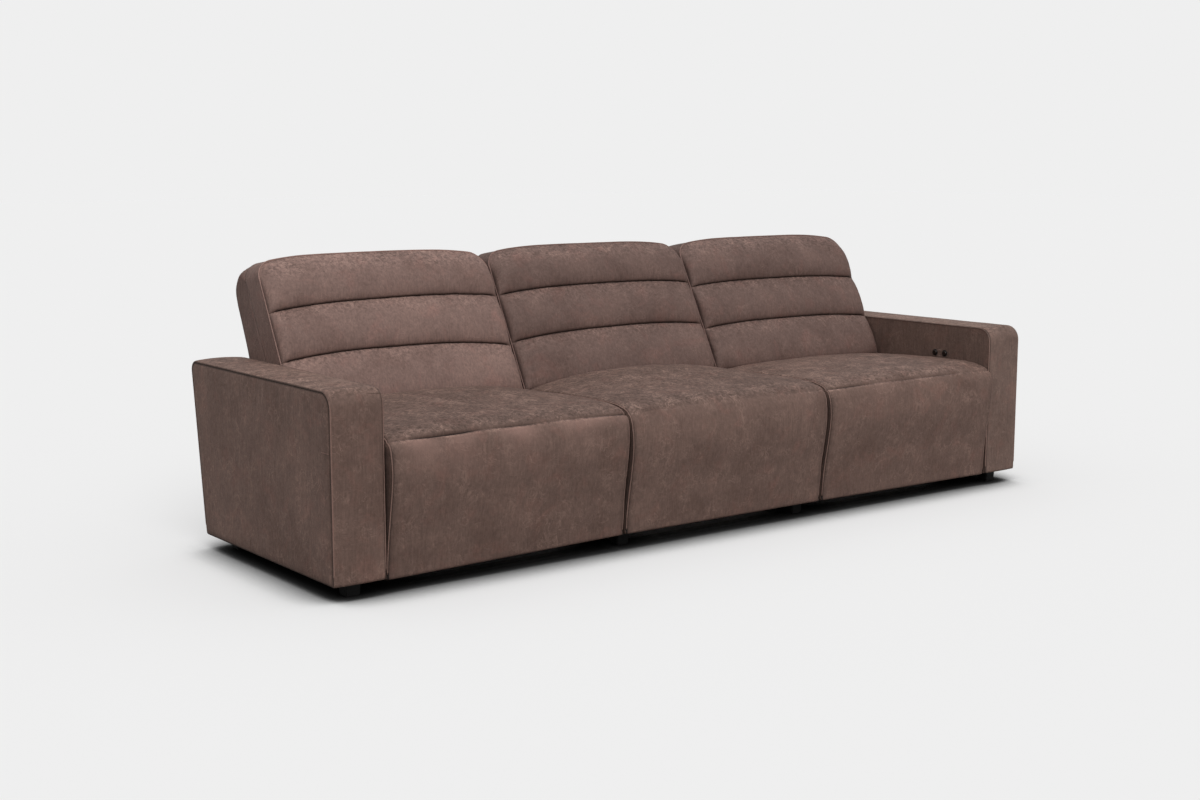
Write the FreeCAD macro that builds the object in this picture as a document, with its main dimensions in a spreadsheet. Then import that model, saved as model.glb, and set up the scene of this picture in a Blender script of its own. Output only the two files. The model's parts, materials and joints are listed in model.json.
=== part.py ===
"""Three-seat power reclining sofa, in millimetres, +Z up, +X to the sitter's left.

The origin is on the floor under the middle of the sofa. Each seat is a module: its pieces are drawn
about the module's own middle, with depth measured back from the front plane of the arms, and are then
moved to their place. The pieces of a back are drawn about its pivot, with the back upright, and are
then tilted by the back's rake.
"""
import FreeCAD, Part
import Sketcher
import math
import os
import re
from FreeCAD import Vector

# Driving sizes of the sofa
SIZES = {
    "module_width": 850,
    "module_gap": 4.5,
    "front_setback": 458,
    "arm_width": 165,
    "arm_height": 585,
    "arm_base_depth": 835,
    "arm_rake": 73,
    "arm_front_radius": 48,
    "arm_rear_radius": 28,
    "arm_base_radius": 14,
    "arm_crown": 5,
    "arm_edge_draw": 6,
    "arm_edge_width": 14,
    "arm_wall": 12,
    "arm_board": 18,
    "foot_height": 45,
    "foot_width": 48,
    "foot_front": 65,
    "arm_foot_rear_inset": 75,
    "module_foot_front": 97,
    "module_foot_rear_inset": 30,
    "foot_inset": 46,
    "stud_radius": 4,
    "stud_reach": 20,
    "stud_fit": 0.2,
    "joiner_thickness": 4,
    "joiner_length": 90,
    "joiner_width": 60,
    "joiner_inset": 60,
    "panel_thickness": 22,
    "panel_front": 80,
    "panel_rear_inset": 45,
    "slide_panel_height": 205,
    "rail_board_height": 60,
    "rail_board_depth": 20,
    "front_rail_setback": 34,
    "corner_block": 66,
    "corner_block_height": 30,
    "rear_panel_thickness": 24,
    "rear_panel_drop": 7,
    "guide_height": 36,
    "guide_wall": 3,
    "guide_depth": 18,
    "guide_bottom": 150,
    "guide_front": 110,
    "guide_rear": 760,
    "slide_fit": 0.5,
    "slide_bar_front": 250,
    "slide_bar_rear": 730,
    "carriage_layer": 41,
    "crank_layer": 48,
    "link_layer": 55,
    "plate_thickness": 5,
    "carriage_front": 120,
    "carriage_web_bottom": 240,
    "upright_half_width": 32,
    "cross_tube_radius": 12.5,
    "front_tube_depth": 150,
    "front_tube_drop": 42,
    "rear_tube_height": 200,
    "tube_wall": 2.5,
    "bearing_fit": 0.08,
    "deck_height": 352,
    "deck_thickness": 22,
    "seat_frame_front": 86,
    "seat_frame_rear": 545,
    "seat_frame_rail": 48,
    "seat_frame_inset": 8,
    "spring_wire": 2,
    "spring_count": 4,
    "spring_pitch": 30,
    "spring_half_width": 26,
    "seat_front_rise": 103,
    "seat_rear_rise": 87,
    "seat_middle_rise": 6,
    "seat_lip_rise": 6,
    "seat_brow_depth": 7,
    "seat_brow_drop": 8,
    "seat_crown": 9,
    "seat_edge_draw": 14,
    "edge_reach": 36,
    "nose_bulge": 22,
    "nose_depth": 44,
    "nose_drop": 95,
    "front_taper_drop": 170,
    "front_flat_drop": 245,
    "pad_lip_drop": 4,
    "front_hem_depth": 4,
    "valley_reach": 10,
    "hinge_depth": 9,
    "hinge_rise": 71,
    "hinge_angle": 50,
    "hinge_barrel_radius": 5.5,
    "hinge_pin_radius": 3,
    "hinge_pin_fit": 0.08,
    "leaf_thickness": 2,
    "leaf_clearance": 0.7,
    "leaf_gap": 0.5,
    "leaf_reach": 110,
    "knuckle_count": 11,
    "knuckle_gap": 0.5,
    "board_thickness": 18,
    "pad_thickness": 60,
    "front_bottom": 52,
    "footrest_swing": 85,
    "footrest_arm": 150,
    "footrest_arm_angle": 58,
    "link_pin_radius": 5,
    "link_pin_play": 0.5,
    "link_half_width": 9.5,
    "lug_half_height": 33,
    "lug_nose": 9,
    "torque_depth": 330,
    "torque_height": 250,
    "torque_radius": 12.5,
    "rod_drop": 50,
    "slot_half_width": 8,
    "slot_crank_half_width": 18,
    "slot_crank_reach": 84,
    "slot_crank_thickness": 8,
    "slot_start": 40,
    "rod_radius": 8,
    "rod_pin_radius": 5,
    "rod_stroke": 86.3,
    "rod_fit": 0.3,
    "fork_gap": 2,
    "fork_cheek": 6,
    "fork_half_height": 10,
    "fork_overhang": 11,
    "fork_length": 35,
    "fork_block": 16,
    "actuator_front": 430,
    "actuator_gearbox": 560,
    "actuator_radius": 16,
    "gearbox_half_width": 32,
    "gearbox_half_height": 35,
    "motor_radius": 26,
    "motor_rise": 48,
    "motor_setback": 40,
    "motor_bridge": 30,
    "pivot_depth": 600,
    "pivot_rise": 48,
    "pivot_pin_radius": 6,
    "back_rake": 27.5,
    "back_face": 62,
    "seat_back_gap": 5,
    "back_cushion_thickness": 95,
    "back_bulge": 32,
    "back_seam_depth": 8,
    "back_seam_low": 179,
    "back_band_start": 14,
    "back_seam_high": 350,
    "back_seam_arch": 21,
    "back_top_edge": 8,
    "back_top": 523,
    "back_top_arch": 27,
    "back_top_roll": 22,
    "back_corner_radius": 55,
    "cover_wall": 12,
    "cover_base_depth": 188,
    "cover_base_height": 43,
    "cover_waist_depth": 134,
    "cover_waist_height": 284,
    "cover_top_depth": 121,
    "cover_top_drop": 32,
    "notch_width": 62,
    "notch_height": 38,
    "back_frame_foot": 5,
    "back_frame_drop": 38,
    "back_stile_width": 22,
    "back_stile_depth": 60,
    "back_rail_height": 60,
    "back_rail_depth": 22,
    "back_bracket_rise": 150,
    "back_bracket_reach": 78,
    "back_bracket_step": 44,
    "back_eye_radius": 24,
    "middle_post_depth": 50,
    "middle_post_front": 20,
    "middle_post_rise": 12,
    "button_radius": 9.8,
    "button_rise": 5,
    "button_drop": 110,
    "button_front": 213,
    "button_rear": 260,
    "button_ring_radius": 12,
    "button_fit": 0.3,
    "switch_depth": 28,
    "switch_half_height": 20,
    "switch_margin": 22,
    "control_box_width": 120,
    "control_box_depth": 60,
    "control_box_height": 35,
    "control_box_rise": 10,
    "inlet_rise": 40,
    "inlet_size": 30,
    "inlet_depth": 6,
    "inlet_bore": 5,
}

# Places that follow other sizes, as expressions for the sheet
DERIVED = {
    "hinge_height": "deck_height + hinge_rise",
    "pivot_height": "deck_height + pivot_rise",
    "seat_top_front": "deck_height + seat_front_rise",
    "seat_top_rear": "deck_height + seat_rear_rise",
    "front_tube_height": "deck_height - front_tube_drop",
    "button_height": "arm_height - button_drop",
    "arm_foot_rear": "arm_base_depth - arm_foot_rear_inset",
    "panel_rear": "arm_base_depth - panel_rear_inset",
    "module_foot_rear": "panel_rear - module_foot_rear_inset",
    "rear_panel_height": "deck_height - foot_height - rear_panel_drop",
}

doc = FreeCAD.newDocument("RecliningSofa")
sheet = doc.addObject("Spreadsheet::Sheet", "Sizes")
ALIASES = {**SIZES, **{alias: "=" + text for alias, text in DERIVED.items()}}
for row, (alias, content) in enumerate(ALIASES.items(), start=1):
    sheet.set("A%d" % row, alias)
    sheet.set("B%d" % row, str(content))
    sheet.setAlias("B%d" % row, alias)
doc.recompute()

NODES = []
AXES = {"x": (0, 1, 0, 90), "y": (1, 0, 0, -90), "z": (0, 0, 1, 0)}
WORD = re.compile(r"[a-z][a-z_]+")


# Helpers

def size(alias):
    """A size read back from the sheet, for the lofted pieces."""
    return float(getattr(sheet, alias))


def bind(item, prop, text):
    """Ties a property to the sheet. Words that are aliases are looked up there."""
    linked = WORD.sub(lambda m: ("Sizes." if m.group() in ALIASES else "") + m.group(), str(text))
    item.setExpression(prop, linked)


def place(item, x="0", y="0", z="0"):
    bind(item, "Placement.Base.x", x)
    bind(item, "Placement.Base.y", y)
    bind(item, "Placement.Base.z", z)
    return item


def turn(item, angle):
    """Turns an item about the X axis by an angle from the sheet."""
    item.Placement = FreeCAD.Placement(item.Placement.Base, FreeCAD.Rotation(Vector(1, 0, 0), 1))
    bind(item, "Placement.Rotation.Angle", angle)
    return item


def box(name, sizes, corner):
    item = doc.addObject("Part::Box", name)
    for prop, text in zip(("Length", "Width", "Height"), sizes):
        bind(item, prop, text)
    return place(item, *corner)


def wide_box(name, width, depth, height, y, z):
    """A box that is centred on the module's middle plane."""
    return box(name, (width, depth, height), ("-(%s)/2" % width, y, z))


def cylinder(name, radius, length, start, axis="x"):
    item = doc.addObject("Part::Cylinder", name)
    bind(item, "Radius", radius)
    bind(item, "Height", length)
    across, along, up, angle = AXES[axis]
    item.Placement = FreeCAD.Placement(Vector(), FreeCAD.Rotation(Vector(across, along, up), angle))
    return place(item, *start)


def wide_rod(name, radius, length, y, z):
    """A round bar along X, centred on the module's middle plane."""
    return cylinder(name, radius, length, ("-(%s)/2" % length, y, z))


def cut(name, base, *tools):
    item = doc.addObject("Part::Cut", name)
    item.Base = base
    item.Tool = tools[0] if len(tools) == 1 else group(name + "Tools", *tools)
    return item


def fuse(name, *shapes):
    item = doc.addObject("Part::MultiFuse", name)
    item.Shapes = list(shapes)
    return item


def group(name, *shapes):
    item = doc.addObject("Part::Compound", name)
    item.Links = list(shapes)
    return item


def plate(name, outline, thickness, x="0", y="0", z="0"):
    """A flat piece: its outline in depth and height, padded to both sides of the plane at x."""
    body = doc.addObject("PartDesign::Body", name)
    sketch = body.newObject("Sketcher::SketchObject", name + "Outline")
    plane = [item for item in body.Origin.OriginFeatures if item.Role == "YZ_Plane"][0]
    sketch.AttachmentSupport = [(plane, "")]
    sketch.MapMode = "FlatFace"
    count = len(outline)
    spread = [Vector(math.cos(2 * math.pi * i / count), math.sin(2 * math.pi * i / count), 0)
              for i in range(count)]
    for i in range(count):
        sketch.addGeometry(Part.LineSegment(spread[i], spread[(i + 1) % count]), False)
    for i in range(count):
        sketch.addConstraint(Sketcher.Constraint("Coincident", i, 2, (i + 1) % count, 1))
    for i, corner in enumerate(outline):
        for kind, start, text in zip(("DistanceX", "DistanceY"), (spread[i].x, spread[i].y), corner):
            number = sketch.addConstraint(Sketcher.Constraint(kind, -1, 1, i, 1, start))
            bind(sketch, "Constraints[%d]" % number, text)
    pad = body.newObject("PartDesign::Pad", name + "Pad")
    pad.Profile = sketch
    pad.Midplane = True
    bind(pad, "Length", thickness)
    body.Tip = pad
    return place(body, x, y, z)


def side_x(sign, layer, thickness):
    """The middle plane of a plate that lies a layer in from a module's side."""
    return "%d*(module_width/2 - (%s) - (%s)/2)" % (sign, layer, thickness)


def side_start(sign, layer, length):
    """Where a bar starts that reaches inwards from a layer at a module's side."""
    edge = "module_width/2 - (%s)" % layer
    return "%s - (%s)" % (edge, length) if sign > 0 else "-(%s)" % edge


def pair(make):
    """The same piece at both sides of a module."""
    return [make(sign) for sign in (-1, 1)]


def section(x, start, *steps):
    """A closed outline at one x. A step is an end point, or a point passed through and an end point."""
    here = Vector(x, *start)
    edges = []
    closed = steps[-1][-1] == start
    for step in steps if closed else steps + ((start,),):
        end = Vector(x, *step[-1])
        if len(step) == 2:
            edges.append(Part.Arc(here, Vector(x, *step[0]), end).toShape())
        else:
            edges.append(Part.LineSegment(here, end).toShape())
        here = end
    return Part.Wire(edges)


def loft(name, sections):
    item = doc.addObject("Part::Feature", name)
    item.Shape = Part.makeLoft(sections, True, True)
    return item


def node(name, item, x="0", y="-front_setback", z="0"):
    """Names a finished piece and moves it from its module to its place on the sofa."""
    item.Label = name
    place(item, x, y, z)
    NODES.append(item)
    return item


def back_node(name, item, x):
    """Names a finished piece of a back, and tilts it about the back's pivot."""
    turn(item, "-back_rake")
    return node(name, item, x, "pivot_depth - front_setback", "pivot_height")


# Shapes of the soft pieces

def stations(half):
    """Where the sections of a cushion lie across its width, closer together at its sides."""
    reach = size("edge_reach")
    side = [half - reach * part for part in (0, 0.12, 0.4, 1)]
    right = side + [half * part for part in (0.6, 0.3)]
    return sorted([-x for x in right] + [0] + right)


def draw(x, half, reach):
    """From 0 on the open surface to 1 at the side, along a quarter circle."""
    near = max(0.0, abs(x) - (half - reach)) / reach
    return 1 - math.sqrt(max(0.0, 1 - near * near))


def cushion_half():
    return size("module_width") / 2 - size("module_gap")


def on_leaf(along, out):
    """A point by the footrest's dividing plane: along it from the hinge, and out to the seat's side."""
    angle = math.radians(size("hinge_angle"))
    depth = size("hinge_depth") + along * math.cos(angle) + out * math.sin(angle)
    height = size("hinge_height") - along * math.sin(angle) + out * math.cos(angle)
    return depth, height


def leaf_side():
    """How far a soft piece stays from the dividing plane, clear of the hinge leaf."""
    return size("leaf_gap") + size("leaf_thickness") + size("leaf_clearance")


def seat_cushion(name):
    """Crowned cushion with a rounded nose and a hollow end that follows the foot of the back."""
    half = cushion_half()
    deck = size("deck_height")
    pivot = Vector(0, size("pivot_depth"), size("pivot_height"))
    hollow = size("back_face") + size("seat_back_gap")
    angle = math.radians(size("hinge_angle"))
    out = leaf_side()
    along_deck = (size("hinge_height") + out * math.cos(angle) - deck) / math.sin(angle)
    sections = []
    for x in stations(half):
        side = draw(x, half, size("edge_reach")) * size("seat_edge_draw")
        lift = size("seat_crown") * (1 - (x / half) ** 2) - side
        front = size("seat_top_front")
        rear = size("seat_top_rear") - side / 2
        nose = size("nose_depth")
        rear_depth = pivot.y - math.sqrt(hollow ** 2 - (pivot.z - rear) ** 2)
        deck_rear = pivot.y - math.sqrt(hollow ** 2 - (pivot.z - deck) ** 2)
        top = [nose + (rear_depth - nose) * part for part in (0.27, 0.57, 0.81)]
        valley = on_leaf(size("valley_reach"), out)
        lip = (valley[0] - 1, size("hinge_height") + size("seat_lip_rise"))
        brow = (lip[0] + size("seat_brow_depth"), front - size("seat_brow_drop") - side * 0.6)
        sections.append(section(
            x, on_leaf(along_deck, out),
            (valley,),
            (lip,),
            (brow, (nose, front + lift * 0.4)),
            ((top[0], front + size("seat_middle_rise") + lift), (top[1], front + lift)),
            ((top[2], (front + rear) / 2 + lift * 0.7), (rear_depth, rear)),
            ((pivot.y - hollow, pivot.z), (deck_rear, deck))))
    return loft(name, sections)


def front_pad(name):
    """Padded front of a seat: it bulges below the nose and hangs straight to the floor gap."""
    half = cushion_half()
    depth = size("pad_thickness")
    bottom = size("front_bottom")
    height = size("hinge_height")
    angle = math.radians(size("hinge_angle"))
    out = -leaf_side()
    top = on_leaf(size("valley_reach"), out)
    rear = on_leaf((depth - size("hinge_depth") + out * math.sin(-angle)) / math.cos(angle), out)
    fullest = height - size("nose_drop")
    taper = height - size("front_taper_drop")
    flat = height - size("front_flat_drop")
    sections = []
    for x in stations(half):
        side = draw(x, half, size("edge_reach")) * size("seat_edge_draw")
        bulge = size("nose_bulge") * (1 - 0.2 * (x / half) ** 2) - side
        sections.append(section(
            x, (depth, bottom),
            ((depth, rear[1]),),
            (top,),
            ((-1, height - size("pad_lip_drop") - side * 0.3),),
            ((-bulge * 0.85, (height + fullest) / 2), (-bulge, fullest)),
            ((-bulge * 0.8, taper), (-bulge * 0.1 + side * 0.3, flat)),
            ((size("front_hem_depth") + side * 0.6, bottom),)))
    return loft(name, sections)


def back_rise(x, half):
    """How much higher the back's top is at x than at its corners."""
    arch = size("back_top_arch") * (1 - (x / half) ** 4)
    return arch - draw(x, half, size("back_corner_radius")) * size("back_corner_radius") * 0.8


def back_cushion_form(name):
    """Three crowned bands between arched seams, rolled over at the top and round the pivot."""
    half = cushion_half()
    face = size("back_face")
    rear = size("back_cushion_thickness") - face
    foot = -math.sqrt(face ** 2 - rear ** 2)
    start = size("back_band_start")
    edge = size("back_top_edge")
    sections = []
    for x in stations(half):
        side = draw(x, half, size("edge_reach"))
        crest = -face - size("back_bulge") * (1 - side) - 1
        seam = -face - size("back_seam_depth") * (1 - side)
        arch = size("back_seam_arch") * (1 - abs(x / half) ** 3)
        low = size("back_seam_low") + arch
        high = size("back_seam_high") + arch
        top = size("back_top") + back_rise(x, half)
        roll = size("back_top_roll")
        sections.append(section(
            x, (rear, foot),
            ((-face * math.sin(math.radians(15)), -face * math.cos(math.radians(15))), (-face, 0)),
            ((-face - 0.5 - (1 - side), start / 2), (-face, start)),
            ((crest, (start + low) / 2), (seam, low)),
            ((crest, (low + high) / 2), (seam, high)),
            ((crest, (high + top) / 2), (-face + edge, top - edge)),
            ((-face / 2, top + roll * 0.4), (rear, top + roll))))
    return loft(name, sections)


def back_cover_form(name, x_half):
    """Outer form of the back's rear cover."""
    rear = size("back_cushion_thickness") - size("back_face")
    foot = -math.sqrt(size("back_face") ** 2 - rear ** 2)
    sections = []
    for x in stations(x_half):
        top = size("back_top") + back_rise(x, x_half) + size("back_top_roll")
        corner = size("back_top") - size("cover_top_drop") + back_rise(x, x_half) * 0.4
        rear_top = size("cover_top_depth")
        crest = (2 * rear + rear_top) / 3
        sections.append(section(
            x, (rear, foot),
            ((rear, top),),
            ((crest, max(top, corner + rear_top - crest) - 1),),
            ((rear_top * 0.9, corner + (rear_top - crest) * 0.6), (rear_top, corner)),
            ((size("cover_waist_depth"), size("cover_waist_height")),),
            ((size("cover_base_depth"), size("cover_base_height")),)))
    return loft(name, sections)


# Arms

def rounded(x, corners):
    """A closed outline at one x, through corners (depth, height, radius) rounded by tangent arcs."""
    points = [Vector(x, depth, height) for depth, height, radius in corners]
    arcs = []
    for index, here in enumerate(points):
        before = (points[index - 1] - here).normalize()
        after = (points[(index + 1) % len(points)] - here).normalize()
        half = before.getAngle(after) / 2
        radius = corners[index][2]
        reach = radius / math.tan(half)
        middle = here + (before + after).normalize() * (radius / math.sin(half) - radius)
        arcs.append((here + before * reach, middle, here + after * reach))
    edges = []
    for arc, following in zip(arcs, arcs[1:] + arcs[:1]):
        edges.append(Part.Arc(*arc).toShape())
        edges.append(Part.LineSegment(arc[2], following[0]).toShape())
    return Part.Wire(edges)


def arm_section(x, inset):
    """Side outline of an arm, drawn in by an inset, on its flat base."""
    bottom = size("foot_height") + max(0, inset)
    top = size("arm_height") - inset
    low = size("arm_base_depth") - inset
    lean = size("arm_rake") / (size("arm_height") - size("foot_height"))
    return rounded(x, [
        (inset, bottom, size("arm_base_radius")),
        (inset, top, size("arm_front_radius")),
        (low + lean * (top - bottom), top, size("arm_rear_radius")),
        (low, bottom, size("arm_base_radius"))])


def arm_cover(side, sign):
    """Padded cover: seams along both edges of a band that is slightly crowned."""
    half = size("arm_width") / 2
    draw_in = size("arm_edge_draw")
    crown = -size("arm_crown")
    edge = half - size("arm_edge_width")
    profile = [(half, draw_in), ((half + edge) / 2, draw_in * 0.35), (edge, 0), (edge / 2, crown * 0.8)]
    steps = [(-x, inset) for x, inset in profile] + [(0, crown)] + profile[::-1]
    outer = loft(side + "ArmForm", [arm_section(x, inset) for x, inset in steps])
    wall = "arm_wall"
    room = plate(side + "ArmRoom", [
        (wall, "foot_height - 1"),
        (wall, "arm_height - 2*arm_wall"),
        ("arm_base_depth + arm_rake - 3*arm_wall", "arm_height - 2*arm_wall"),
        ("arm_base_depth - 2*arm_wall", "foot_height - 1")], "arm_width - 2*arm_wall")
    holes = [cylinder(side + "ButtonHole", "button_ring_radius + button_fit", "arm_wall + 4",
                      (button_x(sign, "-2", "arm_wall + 4"), depth, "button_height"))
             for depth in ("button_front", "button_rear")]
    return cut(side + "ArmCover", outer, room, *holes)


def button_x(sign, start, length):
    """Where a bar along X starts in an arm: start is measured outwards from the arm's inner face."""
    if sign > 0:
        return "-arm_width/2 + (%s)" % start
    return "arm_width/2 - (%s) - (%s)" % (start, length)


def arm_frame(side):
    """Bottom board, front and rear boards, top board and a divider."""
    width = "arm_width - 2*arm_wall"
    roof = "arm_height - 2*arm_wall - arm_board"
    rear_low = "arm_base_depth - 2*arm_wall - arm_board"
    bottom = wide_box(side + "ArmBottom", width, "arm_base_depth - 3*arm_wall", "arm_board",
                      "arm_wall", "foot_height")
    studs = [cylinder(side + "ArmStudHole", "stud_radius + stud_fit", "2*arm_board",
                      ("0", depth, "foot_height - 2"), "z") for depth in ("foot_front", "arm_foot_rear")]
    upright = "(%s) - foot_height - arm_board" % roof
    return group(
        side + "ArmFrame",
        cut(side + "ArmBottomBored", bottom, *studs),
        wide_box(side + "ArmTop", width, "arm_base_depth + arm_rake - 4*arm_wall - arm_board",
                 "arm_board", "arm_wall", roof),
        wide_box(side + "ArmFront", width, "arm_board", upright, "arm_wall", "foot_height + arm_board"),
        wide_box(side + "ArmRear", width, "arm_board", upright, rear_low, "foot_height + arm_board"),
        wide_box(side + "ArmDivider", width, "arm_board", upright, "arm_base_depth/2",
                 "foot_height + arm_board"))


def switch_housing(side, sign):
    """Switch block behind the arm's inner face, with a ring round each button."""
    ring_length = "arm_wall + 1"
    rings = []
    for depth in ("button_front", "button_rear"):
        start = (button_x(sign, "-1", ring_length), depth, "button_height")
        rings.append(cut(
            side + "ButtonRing",
            cylinder(side + "RingOuter", "button_ring_radius", ring_length, start),
            cylinder(side + "RingBore", "button_radius + button_fit", ring_length, start)))
    length = "switch_depth"
    block = box(
        side + "SwitchBlock",
        (length, "button_rear - button_front + 2*switch_margin", "2*switch_half_height"),
        (button_x(sign, "arm_wall", length), "button_front - switch_margin",
         "button_height - switch_half_height"))
    return group(side + "SwitchHousing", block, *rings)


def button(name, sign, depth):
    """Domed push button, seated in its ring."""
    length = "button_rise + arm_wall - 2"
    start = (button_x(sign, "-button_rise", length), depth, "button_height")
    blank = cylinder(name + "Blank", "button_radius", length, start)
    doc.recompute()
    dome = doc.addObject("Part::Fillet", name)
    dome.Base = blank
    outer_x = blank.Shape.BoundBox.XMin if sign > 0 else blank.Shape.BoundBox.XMax
    rims = [number for number, edge in enumerate(blank.Shape.Edges, start=1)
            if len(edge.Vertexes) == 1 and abs(edge.BoundBox.XMin - outer_x) < 0.01
            and edge.BoundBox.XLength < 0.01]
    round_off = size("button_rise") * 0.9
    dome.Edges = [(number, round_off, round_off) for number in rims]
    return dome


def make_arm(side, sign):
    x = "%d*(3*module_width/2 + arm_width/2)" % sign
    node(side + "_arm_cover", arm_cover(side, sign), x)
    node(side + "_arm_frame", arm_frame(side), x)
    node(side + "_switch_housing", switch_housing(side, sign), x)
    node(side + "_open_button", button(side + "Open", sign, "button_front"), x)
    node(side + "_close_button", button(side + "Close", sign, "button_rear"), x)


# Feet and base

ARM_X = "3*module_width/2 + arm_width/2"
MODULE_FOOT_X = "module_width/2 - foot_inset"
ARM_FEET = ("foot_front", "arm_foot_rear")
MODULE_FEET = ("module_foot_front", "module_foot_rear")
FOOT_PLACES = [("-(%s)" % ARM_X, ARM_FEET), (ARM_X, ARM_FEET),
               ("-(%s)" % MODULE_FOOT_X, MODULE_FEET), (MODULE_FOOT_X, MODULE_FEET)]


def make_feet():
    """Square black feet, the studs that hold them, and the plates that join the modules."""
    feet = []
    fixings = []
    for x, depths in FOOT_PLACES:
        for depth in depths:
            blank = box("FootBlank", ("foot_width", "foot_width", "foot_height"),
                        ("%s - foot_width/2" % x, "%s - foot_width/2" % depth, "0"))
            start = (x, depth, "foot_height - stud_reach")
            bore = cylinder("FootBore", "stud_radius + stud_fit", "stud_reach + 1", start, "z")
            feet.append(cut("Foot", blank, bore))
            fixings.append(cylinder("FootStud", "stud_radius", "stud_reach + arm_board", start, "z"))
    for boundary in (-3, -1, 1, 3):
        for depth in ("panel_front + joiner_inset", "panel_rear - 2*joiner_inset - joiner_width"):
            fixings.append(box(
                "JoiningPlate", ("joiner_length", "joiner_width", "joiner_thickness"),
                ("%d*module_width/2 - joiner_length/2" % boundary, depth,
                 "foot_height - joiner_thickness")))
    node("feet", group("Feet", *feet))
    node("base_fixings", group("BaseFixings", *fixings))


def base_frame(name, height, blocks):
    """Side panels, front and rear rails and, where feet are fixed, corner blocks."""
    depth = "panel_rear - panel_front"
    inner = "module_width - 2*panel_thickness"
    pieces = pair(lambda sign: box(
        name + "Panel", ("panel_thickness", depth, height),
        (side_start(sign, "0", "panel_thickness"), "panel_front", "foot_height")))
    pieces.append(wide_box(name + "FrontRail", inner, "rail_board_depth", "rail_board_height",
                           "panel_front + front_rail_setback", "foot_height"))
    pieces.append(wide_box(name + "RearRail", inner, "rail_board_depth", "rail_board_height",
                           "panel_rear - rail_board_depth", "foot_height"))
    if blocks:
        for sign in (-1, 1):
            x = "%d*(module_width/2 - foot_inset)" % sign
            pieces += [corner_block(name, sign, x, "module_foot_front", "panel_front",
                                    "front_rail_setback"),
                       corner_block(name, sign, x, "module_foot_rear",
                                    "panel_rear - rail_board_depth - corner_block", "corner_block")]
    return group(name, *pieces)


def corner_block(name, sign, x, foot_depth, y, length):
    blank = box(name + "Block", ("corner_block", length, "corner_block_height"),
                (side_start(sign, "panel_thickness", "corner_block"), y, "foot_height"))
    bore = cylinder(name + "BlockBore", "stud_radius + stud_fit", "corner_block_height + 2",
                    (x, foot_depth, "foot_height - 1"), "z")
    return cut(name + "BlockBored", blank, bore)


def make_base():
    node("left_base_frame", base_frame("LeftBase", "slide_panel_height", False), "-module_width")
    node("middle_base_frame", group(
        "MiddleBaseFrame",
        base_frame("MiddleBase", "deck_height - deck_thickness - foot_height", True),
        front_board("MiddleFrontBoard", "(panel_front - pad_thickness)")))
    node("right_base_frame", base_frame("RightBase", "slide_panel_height", False), "module_width")
    panels = [box("RearPanel", ("module_width - 2*module_gap", "rear_panel_thickness",
                                "rear_panel_height"),
                  ("%d*module_width - module_width/2 + module_gap" % step, "panel_rear",
                   "foot_height")) for step in (-1, 0, 1)]
    node("rear_base_panels", group("RearBasePanels", *panels))
    rails = [guide_rail(side, step, sign) for side, step in (("Left", -1), ("Right", 1))
             for sign in (-1, 1)]
    node("guide_rails", group("GuideRails", *rails))


def guide_rail(side, step, sign):
    """Steel channel on a base panel, open towards the middle of its module."""
    length = "guide_rear - guide_front"
    x = "%d*module_width + (%s)" % (step, side_start(sign, "panel_thickness", "guide_depth"))
    blank = box(side + "GuideBlank", ("guide_depth", length, "guide_height"),
                (x, "guide_front", "guide_bottom"))
    room_x = "%d*module_width + (%s)" % (
        step, side_start(sign, "panel_thickness + guide_wall", "guide_depth"))
    room = box(side + "GuideRoom", ("guide_depth", length + " + 2", "guide_height - 2*guide_wall"),
               (room_x, "guide_front - 1", "guide_bottom + guide_wall"))
    return cut(side + "Guide", blank, room)


# Seats

def seat_frame(name):
    """Four boards that carry the springs and the cushion."""
    width = "module_width - 2*seat_frame_inset"
    z = "deck_height - deck_thickness"
    length = "seat_frame_rear - seat_frame_front - 2*seat_frame_rail"
    pieces = [wide_box(name + "Front", width, "seat_frame_rail", "deck_thickness",
                       "seat_frame_front", z),
              wide_box(name + "Rear", width, "seat_frame_rail", "deck_thickness",
                       "seat_frame_rear - seat_frame_rail", z)]
    pieces += pair(lambda sign: box(
        name + "Side", ("seat_frame_rail", length, "deck_thickness"),
        (side_start(sign, "seat_frame_inset", "seat_frame_rail"),
         "seat_frame_front + seat_frame_rail", z)))
    return group(name, *pieces)


def seat_springs(name):
    """Sinuous springs from the front board to the rear board, level with the frame's middle."""
    count = int(size("spring_count"))
    spacing = (size("module_width") - 2 * size("seat_frame_rail")) / (count + 1)
    item = doc.addObject("Part::Feature", name)
    item.Shape = Part.makeCompound([
        wire_along(spring_path((index - (count - 1) / 2) * spacing), size("spring_wire"))
        for index in range(count)])
    return item


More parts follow.
